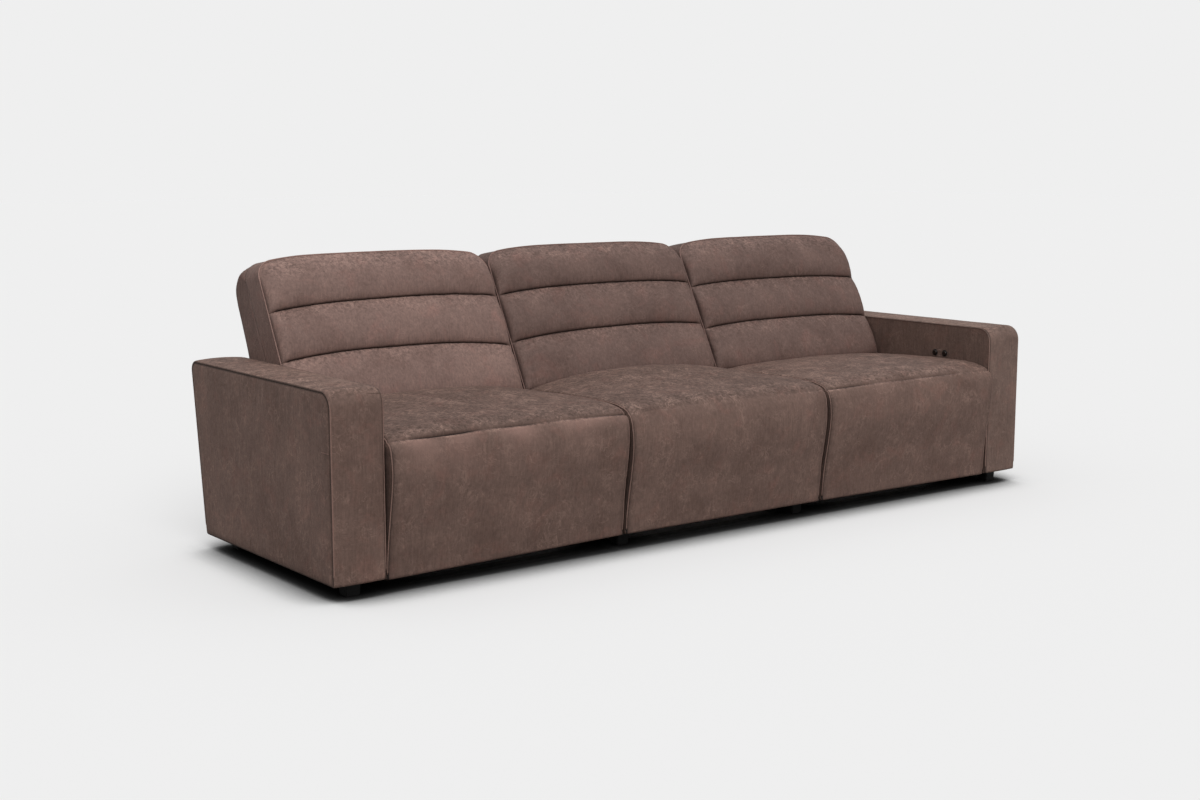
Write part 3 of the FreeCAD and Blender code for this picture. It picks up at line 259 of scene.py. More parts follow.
# Curves, cords, textures and feet
SPLINE_STEPS = 24
ARC_POINTS = 17
EDGE_TURNS = (8, 80, 8)
SEED_SPREAD = 7.3
PIPING_RADIUS = 2.3
# A painted highlight along the cords
PIPING_HIGHLIGHT = 0.7
CORD_TIP = 0.35
ANY_WAY = (0.31, 0.55, 0.77)
WALL_STEPS = 10
DARK_RINGS = 4
WALL_TEXTURE_START = 40
TEXTURE_STEPS = 97
TEXTURE_SPREAD = 0.173
LEVEL_FADE = (0.55, 0.35)
WELD = 0.00001
FOOT_TAPER = 0.9
FOOT_EASE = 0.003


# Curves and grids

def spline(points, count):
    """Evenly spaced points on a Catmull-Rom curve through the given ones."""
    points = np.array(points, float)
    ends = np.vstack([2 * points[0] - points[1], points, 2 * points[-1] - points[-2]])
    t = np.linspace(0, 1, SPLINE_STEPS, endpoint=False)[:, None]
    spans = []
    for a, b, c, d in zip(ends, ends[1:], ends[2:], ends[3:]):
        spans.append(0.5 * (2 * b + (c - a) * t + (2 * a - 5 * b + 4 * c - d) * t ** 2
                            + (3 * b - a - 3 * c + d) * t ** 3))
    return resample(np.vstack(spans + [points[-1:]]), count)


def lengths(points):
    """Distance travelled along a line of points, up to each of them."""
    steps = np.linalg.norm(np.diff(points, axis=0), axis=1)
    return np.concatenate([[0], np.cumsum(steps)])


def resample(points, count):
    travelled = lengths(points)
    at = np.linspace(0, travelled[-1], count)
    return np.stack([np.interp(at, travelled, column) for column in points.T], axis=1)


def across(half, reach, count):
    """Stations over a cushion's width with the drop of its rounded edges, as (x, drop) rows."""
    turn = np.radians(np.linspace(*EDGE_TURNS))
    flat = half - reach
    x = np.concatenate([-(flat + reach * np.sin(turn))[::-1], np.linspace(-flat, flat, count),
                        flat + reach * np.sin(turn)])
    drop = np.concatenate([(reach * (1 - np.cos(turn)))[::-1], np.zeros(count),
                           reach * (1 - np.cos(turn))])
    return x, drop


def ripple(grid, reach, seed):
    """Smooth noise between -1 and 1 for each point of a grid, with hollows about reach apart."""
    flat = grid.reshape(-1, 3) / reach + seed * SEED_SPREAD
    return np.array([noise.noise(Vector(p)) for p in flat]).reshape(grid.shape[:2])


def waves(grid, seed, table):
    """The sum of a table's waves at each point of a grid."""
    return sum(ripple(grid * stretch, reach, seed + more) * height
               for stretch, reach, more, height in table)


def fade(value, span):
    return np.clip((value - span[0]) / span[1], 0, 1)


def patchy(value, levels):
    middle, swing, least, most = levels
    return np.clip(middle + swing * value, least, most)


def edge_loop(columns, rows):
    """Indices of a grid's outer points, in order round it."""
    loop = [(j, 0) for j in range(columns)] + [(columns - 1, i) for i in range(1, rows)]
    loop += [(j, rows - 1) for j in range(columns - 2, -1, -1)]
    return tuple(np.array(loop + [(0, i) for i in range(rows - 2, 0, -1)]).T)


def uv_grid(grid):
    """Texture places of a grid in metres, measured along its middle row and column."""
    u = lengths(grid[:, grid.shape[1] // 2])
    v = lengths(grid[grid.shape[0] // 2])
    return np.stack(np.meshgrid(u, v, indexing="ij"), axis=2) * MM


def quads(table):
    """Faces between neighbours of a table, whose last axis may hold texture places."""
    return np.stack([table[:-1, :-1], table[1:, :-1], table[1:, 1:], table[:-1, 1:]], axis=2)


def slab(name, front, rear, rings=None, steps=WALL_STEPS, tone=None, wall_tone=0.0, rear_tone=0.0,
         last_ring_tone=None):
    """A closed padded mesh: a front grid, a rear grid and the walls that join their edges. The tone
    of each point runs from -1, full painted shade, as in seams, gaps and shaded sides, to 1, a rubbed
    place or a painted highlight."""
    columns, rows = front.shape[:2]
    loop = edge_loop(columns, rows)
    if rings is None:
        share = np.linspace(0, 1, steps + 1)[1:-1, None, None]
        rings = front[loop] * (1 - share) + rear[loop] * share
    ids = np.arange(columns * rows).reshape(columns, rows)
    rear_ids = ids + ids.size
    ring_ids = np.arange(rings[..., 0].size).reshape(rings.shape[:2]) + 2 * ids.size
    walls = np.vstack([ids[loop][None], ring_ids, rear_ids[loop][None]])
    walls = np.hstack([walls, walls[:, :1]])
    points = np.vstack([front.reshape(-1, 3), rear.reshape(-1, 3), rings.reshape(-1, 3)])
    u = lengths(points[walls[0]])
    v = lengths(points[walls[:, 0]]) + WALL_TEXTURE_START
    wall_uv = np.stack(np.meshgrid(v, u, indexing="ij"), axis=2) * MM
    faces = np.vstack([quads(ids).reshape(-1, 4), quads(rear_ids)[..., ::-1].reshape(-1, 4),
                       quads(walls).reshape(-1, 4)])
    uv = np.vstack([quads(uv_grid(front)).reshape(-1, 4, 2),
                    quads(uv_grid(rear))[:, :, ::-1].reshape(-1, 4, 2),
                    quads(wall_uv).reshape(-1, 4, 2)])
    tones = np.full(len(points), float(wall_tone))
    if tone is not None:
        tones[:ids.size] = tone.reshape(-1)
    tones[ids.size:2 * ids.size] += rear_tone
    if last_ring_tone is not None:
        tones[-DARK_RINGS * rings.shape[1]:] = last_ring_tone
    return mesh_piece(name, points, faces, uv, tones)


def new_object(name, data):
    item = bpy.data.objects.new(name, data)
    bpy.context.scene.collection.objects.link(item)
    return item


def mesh_piece(name, points, faces, uv, tones):
    """A smooth-shaded mesh in the row frame, with texture places and a tone at each point."""
    mesh = bpy.data.meshes.new(name)
    mesh.from_pydata((points * MM).tolist(), [], faces.tolist())
    mesh.uv_layers.new(name="UVMap").data.foreach_set("uv", uv.reshape(-1))
    spread = sum(ord(letter) for letter in name) % TEXTURE_STEPS * TEXTURE_SPREAD
    rest = mesh.attributes.new("rest", "FLOAT_VECTOR", "POINT")
    rest.data.foreach_set("vector", (points * MM + spread).reshape(-1))
    mesh.attributes.new("tone", "FLOAT", "POINT").data.foreach_set("value", tones)
    model = bmesh.new()
    model.from_mesh(mesh)
    bmesh.ops.recalc_face_normals(model, faces=model.faces)
    for face in model.faces:
        face.smooth = True
    model.to_mesh(mesh)
    model.free()
    normals = np.empty(len(points) * 3)
    mesh.vertices.foreach_get("normal", normals)
    level = mesh.attributes.new("level", "FLOAT", "POINT")
    level.data.foreach_set("value", fade(normals[2::3], LEVEL_FADE))
    return new_object(name, mesh)


def cut_round(piece, place, radius):
    """Opens a round hole for a button in the panel near it, which faces along x."""
    def nearby():
        return [face for face in model.faces
                if (face.calc_center_median() - place).length < 3 * radius]

    model = bmesh.new()
    model.from_mesh(piece.data)
    for turn in np.linspace(0, 2 * math.pi, HOLE_SIDES, endpoint=False):
        way = Vector((0, math.cos(turn), math.sin(turn)))
        near = nearby()
        edges = {edge for face in near for edge in face.edges}
        corners = {corner for face in near for corner in face.verts}
        bmesh.ops.bisect_plane(model, geom=[*near, *edges, *corners], plane_co=place + way * radius,
                               plane_no=way)
    inside = [face for face in nearby() if (face.calc_center_median() - place).yz.length < radius]
    bmesh.ops.delete(model, geom=inside, context="FACES")
    model.to_mesh(piece.data)
    model.free()


def tube(name, path, radius=PIPING_RADIUS, sides=10, tone=PIPING_HIGHLIGHT):
    """A round cord of fabric along a line of points, closed at both ends."""
    path = np.array(path, float)
    ahead = np.gradient(path, axis=0)
    ahead /= np.linalg.norm(ahead, axis=1, keepdims=True)
    out = np.cross(ahead[0], ANY_WAY)
    rings = []
    for number, (place, along) in enumerate(zip(path, ahead)):
        out = out - along * np.dot(out, along)
        out /= np.linalg.norm(out)
        third = np.cross(along, out)
        angles = np.linspace(0, 2 * math.pi, sides, endpoint=False)[:, None]
        size = radius * (CORD_TIP if number in (0, len(path) - 1) else 1)
        rings.append(place + size * (np.cos(angles) * out + np.sin(angles) * third))
    points = np.vstack(rings + [path[:1], path[-1:]])
    ids = np.arange(len(path) * sides).reshape(len(path), sides)
    ids = np.hstack([ids, ids[:, :1]])
    u = lengths(path)
    v = np.linspace(0, 2 * math.pi * radius, sides + 1)
    uv = quads(np.stack(np.meshgrid(u, v, indexing="ij"), axis=2) * MM).reshape(-1, 4, 2)
    tones = np.repeat(np.broadcast_to(tone, len(path)), sides)
    tones = np.concatenate([tones, tones[:1], tones[-1:]])
    piece = mesh_piece(name, points, quads(ids).reshape(-1, 4), uv, tones)
    model = bmesh.new()
    model.from_mesh(piece.data)
    model.verts.ensure_lookup_table()
    for tip, ring in ((len(points) - 2, ids[0]), (len(points) - 1, ids[-1])):
        for a, b in zip(ring, ring[1:]):
            face = model.faces.new([model.verts[int(corner)] for corner in (tip, a, b)])
            face.smooth = True
    bmesh.ops.recalc_face_normals(model, faces=model.faces)
    model.to_mesh(piece.data)
    model.free()
    return piece


def moved(grid, x):
    """A grid of a module's points in the sofa's frame."""
    return grid + np.array([x, -FRONT_SETBACK, 0])


def tilted(grid, x):
    """A grid drawn upright about the pivot, leaned back and moved to its module."""
    angle = math.radians(BACK_RAKE)
    depth = grid[..., 1] * math.cos(angle) + grid[..., 2] * math.sin(angle)
    height = grid[..., 2] * math.cos(angle) - grid[..., 1] * math.sin(angle)
    return moved(np.stack([grid[..., 0], depth + PIVOT[0], height + PIVOT[1]], axis=-1), x)


def finish_piece(piece, material, body, replaced=(), hinge=None):
    """Gives a piece its finish and hides the parts it stands for. It joins the piece to its body, or, given a
    hinge, only bakes its place into its mesh.
    """
    piece.data.materials.append(material)
    if replaced:
        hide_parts(*replaced)
    if hinge:
        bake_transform(piece)
    else:
        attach(piece, body)


# Materials

# Noises: scale, detail, roughness and distortion
CLOUDS = (5.5, 4.0, 0.6, 0.5)
ROSE = (13, 4.0, 0.62, 0.6)
MOTTLE = (84, 6.0, 0.72, 0.5)
STREAKS = (1.0, 4.0, 0.66, 0.0)
VEINS = (1.0, 3.0, 0.6, 1.2)
PATCHES = (16, 3.0, 0.6, 0.0)
NAP = (900, 3.0, 0.6, 0.0)
WOOD_GRAIN = (1.6, 6.0, 0.62, 0.8)
STREAK_STRETCH = (190, 190, 20)
VEIN_STRETCH = (20, 24, 17)
FINE_VEIN_STRETCH = (46, 52, 34)
WOOD_STRETCH = (3, 40, 40)
LEVEL_VEINS = 1.9
UPRIGHT_VEINS = 0.8
# The colour of painted shade, and how strongly painted shade and the rubbed, highlighted colour are mixed in
SHADE_COLOUR = (24, 13, 10)
RUB_AND_HIGHLIGHT_STRENGTH = 0.55
SHADE_STRENGTH = 0.92
NAP_HEIGHT = 0.00012
CREASE_HEIGHT = 0.0011
WOOD_HEIGHT = 0.0006
# Specular level, metallic, detail of the grain, its darkest place in the noise, and its height
METAL = (0.5, 0.9, 4.0, 0.35, 0.00015)
MOULDED = (0.45, 0.0, 3.0, 0.3, 0.00012)


def new_material(name, roughness, specular=0.3, metallic=0.0):
    material = bpy.data.materials.new(name)
    material.use_nodes = True
    tree = material.node_tree
    shader = tree.nodes["Principled BSDF"]
    shader.inputs["Roughness"].default_value = roughness
    shader.inputs["Specular IOR Level"].default_value = specular
    shader.inputs["Metallic"].default_value = metallic
    return material, tree, shader


def noise_node(tree, place, settings):
    node = tree.nodes.new("ShaderNodeTexNoise")
    for name, value in zip(("Scale", "Detail", "Roughness", "Distortion"), settings):
        node.inputs[name].default_value = value
    tree.links.new(place, node.inputs["Vector"])
    return node.outputs["Fac"]


def stretched(tree, place, scale):
    node = tree.nodes.new("ShaderNodeMapping")
    node.inputs["Scale"].default_value = scale
    tree.links.new(place, node.inputs["Vector"])
    return node.outputs["Vector"]


def ramp(tree, value, stops):
    """Turns a value into a colour between stops, each a place and a colour or a grey."""
    node = tree.nodes.new("ShaderNodeValToRGB")
    while len(node.color_ramp.elements) < len(stops):
        node.color_ramp.elements.new(0.5)
    for element, (place, colour) in zip(node.color_ramp.elements, stops):
        element.position = place
        element.color = (*(colour if isinstance(colour, tuple) else (colour,) * 3), 1)
    tree.links.new(value, node.inputs["Fac"])
    return node.outputs["Color"]


def mix(tree, factor, first, second, mode="MIX"):
    """Mixes two colours, each a socket or a plain colour, by a socket or a number."""
    node = tree.nodes.new("ShaderNodeMix")
    node.data_type = "RGBA"
    node.blend_type = mode
    for number, value in ((0, factor), (6, first), (7, second)):
        socket = node.inputs[number]
        if isinstance(value, bpy.types.NodeSocket):
            tree.links.new(value, socket)
        else:
            socket.default_value = (*value, 1) if isinstance(value, tuple) else value
    return node.outputs[2]


def maths(tree, operation, *values):
    node = tree.nodes.new("ShaderNodeMath")
    node.operation = operation
    for socket, value in zip(node.inputs, values):
        if isinstance(value, bpy.types.NodeSocket):
            tree.links.new(value, socket)
        else:
            socket.default_value = value
    return node.outputs[0]


def bump(tree, shader, height, distance, below=None):
    node = tree.nodes.new("ShaderNodeBump")
    node.inputs["Distance"].default_value = distance
    tree.links.new(height, node.inputs["Height"])
    if below is not None:
        tree.links.new(below, node.inputs["Normal"])
    tree.links.new(node.outputs["Normal"], shader.inputs["Normal"])
    return node.outputs["Normal"]


def srgb(*channels):
    """A colour named by its 0 to 255 screen values, as the linear values that a shader takes."""
    return tuple(((c / 255 + 0.055) / 1.055) ** 2.4 if c > 10 else c / 255 / 12.92
                 for c in channels)


def attribute(tree, name, output):
    node = tree.nodes.new("ShaderNodeAttribute")
    node.attribute_name = name
    return node.outputs[output]


def vein_lines(tree, place, scale, width):
    """Thin wavy lines, where a distorted noise crosses its middle value."""
    wave = noise_node(tree, stretched(tree, place, scale), VEINS)
    away = maths(tree, "ABSOLUTE", maths(tree, "SUBTRACT", wave, 0.5))
    return ramp(tree, away, [(0.0, 1), (width, 0)])


def microfibre(name, base, veins):
    """Distressed suede-like microfibre: cloudy brown with rubbed patches, upright brush streaks,
    fine veins, most of them where it lies level, and a short nap. Its tone paints light in: painted
    shade in seams, gaps and shaded sides, painted highlights on the cords and the seat noses."""
    material, tree, shader = new_material(name, 0.7, 0.3)
    place = attribute(tree, "rest", "Vector")
    tone = attribute(tree, "tone", "Fac")
    level = attribute(tree, "level", "Fac")
    red, green, blue = base
    clouds = noise_node(tree, place, CLOUDS)
    colour = ramp(tree, clouds, [(0.34, srgb(red - 8, green - 8, blue - 8)), (0.5, srgb(*base)),
                                 (0.68, srgb(red + 9, green + 7, blue + 6))])
    rosy = ramp(tree, noise_node(tree, place, ROSE), [(0.53, 0), (0.72, 1)])
    colour = mix(tree, maths(tree, "MULTIPLY", rosy, 0.3), colour,
                 srgb(red + 26, green + 7, blue + 5))
    mottle = noise_node(tree, place, MOTTLE)
    upright_tone = ramp(tree, mottle, [(0.36, 0.89), (0.64, (1.09, 1.085, 1.08))])
    level_tone = ramp(tree, mottle, [(0.38, (0.56, 0.55, 0.54)), (0.50, 0.99),
                                     (0.63, (1.48, 1.45, 1.43))])
    cloth_tone = mix(tree, level, upright_tone, level_tone)
    colour = mix(tree, 1.0, colour, cloth_tone, "MULTIPLY")
    streaks = noise_node(tree, stretched(tree, place, STREAK_STRETCH), STREAKS)
    streak_tone = ramp(tree, streaks, [(0.34, 0.80), (0.66, (1.15, 1.14, 1.14))])
    colour = mix(tree, 0.8, colour, streak_tone, "MULTIPLY")
    lines = vein_lines(tree, place, VEIN_STRETCH, 0.035)
    finer = vein_lines(tree, place, FINE_VEIN_STRETCH, 0.05)
    patch = ramp(tree, noise_node(tree, place, PATCHES), [(0.45, 0.05), (0.62, 1)])
    vein = mix(tree, 1.0, mix(tree, 0.6, lines, finer, "ADD"), patch, "MULTIPLY")
    strength = maths(tree, "MULTIPLY_ADD", level, veins * LEVEL_VEINS, veins * UPRIGHT_VEINS)
    colour = mix(tree, maths(tree, "MULTIPLY", vein, strength), colour,
                 srgb(red + 52, green + 44, blue + 40))
    # Tone above 0 mixes in rubbed wear and painted highlights, tone below 0 painted shade
    rubbed = maths(tree, "MULTIPLY", maths(tree, "MAXIMUM", tone, 0.0), RUB_AND_HIGHLIGHT_STRENGTH)
    colour = mix(tree, rubbed, colour, srgb(red + 50, green + 38, blue + 36))
    shade = maths(tree, "MAXIMUM", maths(tree, "MULTIPLY", tone, -1.0), 0.0)
    colour = mix(tree, maths(tree, "MULTIPLY", shade, SHADE_STRENGTH), colour,
                 srgb(*SHADE_COLOUR))
    tree.links.new(colour, shader.inputs["Base Color"])
    rough = ramp(tree, mottle, [(0.3, 0.80), (0.7, 0.58)])
    tree.links.new(rough, shader.inputs["Roughness"])
    shader.inputs["Sheen Weight"].default_value = 0.11
    shader.inputs["Sheen Roughness"].default_value = 0.4
    shader.inputs["Sheen Tint"].default_value = (*srgb(215, 190, 178), 1)
    nap = bump(tree, shader, noise_node(tree, place, NAP), NAP_HEIGHT)
    creases = maths(tree, "MULTIPLY_ADD", lines, 0.35, mottle)
    bump(tree, shader, creases, CREASE_HEIGHT, nap)
    return material


def wood():
    material, tree, shader = new_material("frame_wood", 0.62)
    place = tree.nodes.new("ShaderNodeTexCoord").outputs["Object"]
    grain = noise_node(tree, stretched(tree, place, WOOD_STRETCH), WOOD_GRAIN)
    colour = ramp(tree, grain, [(0.3, srgb(150, 112, 74)), (0.5, srgb(188, 150, 106)),
                                (0.7, srgb(206, 172, 128))])
    tree.links.new(colour, shader.inputs["Base Color"])
    bump(tree, shader, grain, WOOD_HEIGHT)
    return material


def speckled(name, kind, dark, light, roughness, scale):
    """Metal or moulded plastic with a fine grain."""
    specular, metallic, detail, edge, height = kind
    material, tree, shader = new_material(name, roughness, specular, metallic)
    place = tree.nodes.new("ShaderNodeTexCoord").outputs["Object"]
    grain = noise_node(tree, place, (scale, detail, 0.6, 0.0))
    colour = ramp(tree, grain, [(edge, srgb(*dark)), (1 - edge, srgb(*light))])
    tree.links.new(colour, shader.inputs["Base Color"])
    bump(tree, shader, grain, height)
    return material


MATERIALS = {
    "microfibre": microfibre("microfibre", (118, 97, 89), 0.3),
    "seat_fabric": microfibre("seat_microfibre", (117, 94, 85), 0.4),
    "left_arm_fabric": microfibre("left_arm_microfibre", (115, 92, 83), 0.42),
    # The right arm's copy is painted lighter, for the stronger light falling on it
    "right_arm_fabric": microfibre("right_arm_lit_microfibre", (122, 100, 91), 0.3),
    "back_fabric": microfibre("back_microfibre", (113, 91, 84), 0.24),
    # The left back's copy is painted lighter, for the stronger light it catches
    "left_back_fabric": microfibre("left_back_lit_microfibre", (134, 109, 101), 0.2),
    "frame_wood": wood(),
    "steel_black": speckled("steel_black", METAL, (30, 30, 31), (42, 42, 43), 0.5, 500),
    "steel_bright": speckled("steel_bright", METAL, (168, 170, 172), (200, 201, 203), 0.32, 260),
    "plastic_black": speckled("plastic_black", MOULDED, (24, 24, 25), (34, 34, 35), 0.5, 420),
    "foot_black": speckled("foot_black", MOULDED, (17, 16, 16), (26, 25, 25), 0.55, 240),
    "button_dark": speckled("button_dark", METAL, (52, 46, 44), (66, 60, 57), 0.22, 300),
}


def dress_frame():
    """Gives each node of the construction the material of its slot."""
    for row in frame["record"]["subparts"]:
        node = frame["nodes"][row["node"]]
        node.data.materials.clear()
        node.data.materials.append(MATERIALS[row["material_slot"]])


# Seats

def seat_profile():
    """Points of a seat's side outline, closer together where the fold is sewn."""
    dense = spline(SEAT_PROFILE, SEAT_OUTLINE_POINTS)
    near = np.hypot(*(dense - np.array(FOLD)).T) < FOLD_REACH
    step = np.where(near, SEAM_STEP, SEAT_STEP)
    count = np.concatenate([[0], np.cumsum(np.diff(lengths(dense)) / step[1:])])
    at = np.linspace(0, count[-1], int(round(count[-1])) + 1)
    return np.stack([np.interp(at, count, column) for column in dense.T], axis=1)


def seat_base(profile):
    """The point of the foam's inner side that lies behind each point of a seat's profile."""
    base = []
    centre = np.array(CORNER_CENTRE, float)
    reach = np.minimum.accumulate(profile[:, 0])
    for (depth, height), least in zip(profile, reach):
        if depth > centre[0]:
            base.append((least, DECK + 1))
        elif height < centre[1]:
            base.append((centre[0] - CORNER_RADIUS, height))
        else:
            out = np.array([depth, height]) - centre
            base.append(tuple(centre + out / np.linalg.norm(out) * CORNER_RADIUS))
    return np.array(base)


def seat_crown(side, profile, x):
    """How far a seat's surface stands out from its side outline, over the rows and across them."""
    depth, height = profile.T
    full = 1 - np.abs(x[:, None] / CUSHION_HALF) ** CROWN_POWER
    on_top = fade(height, TOP_FADE)
    rows = FRONT_CROWN + (SEAT_CROWN - FRONT_CROWN) * on_top
    rows = rows * fade(height, FRONT_FADE)
    rise = fade(depth, REAR_FADE)
    rows = rows + REAR_CROWN[side] * rise * rise * (3 - 2 * rise) * on_top
    foot = np.arange(len(profile)) < np.argmax(height > SEAT_REAR_EDGE)
    rows = np.where(foot, rows * fade(height, FOOT_FADE), rows)
    return full * rows[None, :]


def seat_grids(side):
    """Front and rear grids of a seat, and the front's tone. The front is its top, nose and front
    face, the rear the foam's inner side."""
    profile = seat_profile()
    ahead = np.gradient(profile, axis=0)
    ahead /= np.linalg.norm(ahead, axis=1, keepdims=True)
    out = np.stack([ahead[:, 1], -ahead[:, 0]], axis=1)
    out[profile[:, 0] > SEAT_TOP_START] = (0, 1)
    x, drop = across(CUSHION_HALF, EDGE_ROUND, SEAT_COLUMNS)
    from_end = CUSHION_HALF - np.abs(x)[:, None]
    along = lengths(profile)
    past = along - along[np.argmin(np.hypot(*(profile - np.array(FOLD)).T))]
    groove = np.exp(-(past / FOLD_WIDTH) ** 2)
    lip = np.where(past > 0, (past / LIP_REACH) * np.exp(1 - past / LIP_REACH), 0)
    deep = FOLD_DEPTH[side] / GROOVE
    seed = SIDES.index(side) + 1
    front = np.empty((len(x), len(profile), 3))
    front[..., 0] = x[:, None]
    front[..., 1:] = profile
    wave = waves(front, seed, SEAT_WAVES) * patchy(np.abs(x[:, None]) / CUSHION_HALF, CALM_PATCHES)
    share = deep * patchy(waves(front, seed, FOLD_CHANGE), FOLD_PATCHES)
    pucker = waves(front, seed, SEAT_PUCKERS) * np.exp(-np.abs(past) / PUCKER_REACH) * share
    gather = waves(front, seed, SEAT_GATHERS) * (1 - fade(from_end, GATHER_FADE))
    lift = (seat_crown(side, profile, x) - drop[:, None] - groove * GROOVE * share
            + lip * LIP * deep + wave + pucker + gather)
    lift = lift * fade(along[-1] - along, OPEN_EDGE_FADE)
    front[..., 1:] += out * lift[..., None]
    height = profile[None, :, 1]
    waist = np.exp(-((height - WAIST_HEIGHT) / WAIST_REACH) ** 4) * (profile[:, 0] < SEAT_FRONT_END)
    front[..., 0] *= 1 - WAIST / CUSHION_HALF * waist
    hem = np.interp(x, (-CUSHION_HALF, CUSHION_HALF), HEM[side])[:, None] - HEM_HEIGHT
    front[..., 2] += hem * fade(height, HEM_FADE)
    # Painted light in the tone: shade in the fold's seam, over the top, low on the front, at the sides and beside
    # the piping; on the nose, rubbed wear with a painted highlight
    tone = -STITCH_SHADE * np.exp(-(past / STITCH_WIDTH) ** 2)[None, :] * fade(share, STITCH_FADE)
    beyond = np.maximum(past - NOSE_START, 0)
    nose = np.where(past > 0, np.clip(past / NOSE_START, 0, 1) * np.exp(-beyond / NOSE_REACH), 0)
    rubbed = nose[None, :] * patchy(waves(front, seed, NOSE_CHANGE), NOSE_PATCHES)
    tone = tone - TOP_SHADE[side] * fade(height, TOP_TONE_FADE) + NOSE_RUB_AND_HIGHLIGHT[side] * rubbed
    tone = tone - LOW_SHADE[side] * fade(height, LOW_FADE) * (height < FOLD[1])
    tone = tone - SIDE_SHADE * np.exp(-(from_end / SIDE_SHADE_WIDTH) ** 2) * fade(height, SIDE_FADE)
    middle = (len(x) - 1) / 2
    piped = np.abs(np.abs(np.arange(len(x)) - middle) - (middle - PIPED_COLUMN))
    tone = tone - PIPE_SHADE * np.clip(PIPE_SPREAD - piped, 0, 1)[:, None]
    rear = np.empty_like(front)
    rear[..., 0] = x[:, None] * (CUSHION_HALF - 2) / CUSHION_HALF
    rear[..., 1:] = seat_base(profile)
    return front, rear, tone


def hinge_blend(side):
    """Body of the footrest and two places on either side of its hinge, in metres in the sofa's frame."""
    angle = math.radians(HINGE_ANGLE)
    out = np.array([math.sin(angle), math.cos(angle)]) * BLEND_REACH
    ends = []
    for place in (HINGE + out, HINGE - out):
        ends.append((MODULE_X[side] * MM, (place[0] - FRONT_SETBACK) * MM, place[1] * MM))
    return side + "_footrest", ends[0], ends[1]


def make_seat(side):
    front, rear, tone = seat_grids(side)
    x = MODULE_X[side]
    fixed = side == "middle"
    body = "root" if fixed else side + "_carriage"
    pad = "middle_front_pad" if fixed else side + "_footrest_pad"
    hinge = None if fixed else hinge_blend(side)
    # Its side walls get painted shade
    piece = slab(side + "_seat_upholstery", moved(front, x), moved(rear, x), tone=tone,
                 wall_tone=SEAT_WALL_SHADE)
    finish_piece(piece, MATERIALS["seat_fabric"], body, (side + "_seat_cushion", pad),
                 hinge)
    # Its cords get a painted highlight
    for name, column in (("first", PIPED_COLUMN), ("second", -1 - PIPED_COLUMN)):
        cord = tube("%s_seat_piping_%s" % (side, name), moved(front[column, SEAT_PIPING_ROWS], x),
                    tone=SEAT_PIPING_HIGHLIGHT)
        finish_piece(cord, MATERIALS["seat_fabric"], body, hinge=hinge)


# Backs

def top_height(x):
    """Height of a back's top edge at x: arched, with rounded corners."""
    near = np.clip((np.abs(x) - (CUSHION_HALF - TOP_CORNER)) / TOP_CORNER, 0, TOP_CORNER_END)
    return (BACK_TOP + TOP_ARCH * (1 - (x / CUSHION_HALF) ** 4)
            - TOP_CORNER * (1 - np.sqrt(1 - near ** 2)))


def seam_height(seam, x):
    first, last, rise = seam
    share = (x / CUSHION_HALF + 1) / 2
    return first + (last - first) * share + rise * (1 - np.abs(x / CUSHION_HALF) ** SEAM_POWER)


def band_shape(share):
    """How far a band stands out between two seams, fuller in its lower half."""
    skewed = share ** BAND_SKEW
    return np.clip(4 * skewed * (1 - skewed), 0, None) ** BAND_POWER


def back_columns():
    turn = np.radians(np.linspace(*BACK_EDGE_TURNS))
    flat = CUSHION_HALF - TOP_CORNER
    end = flat + TOP_CORNER * np.sin(turn)
    return np.concatenate([-end[::-1], np.linspace(-flat, flat, BACK_COLUMNS), end])


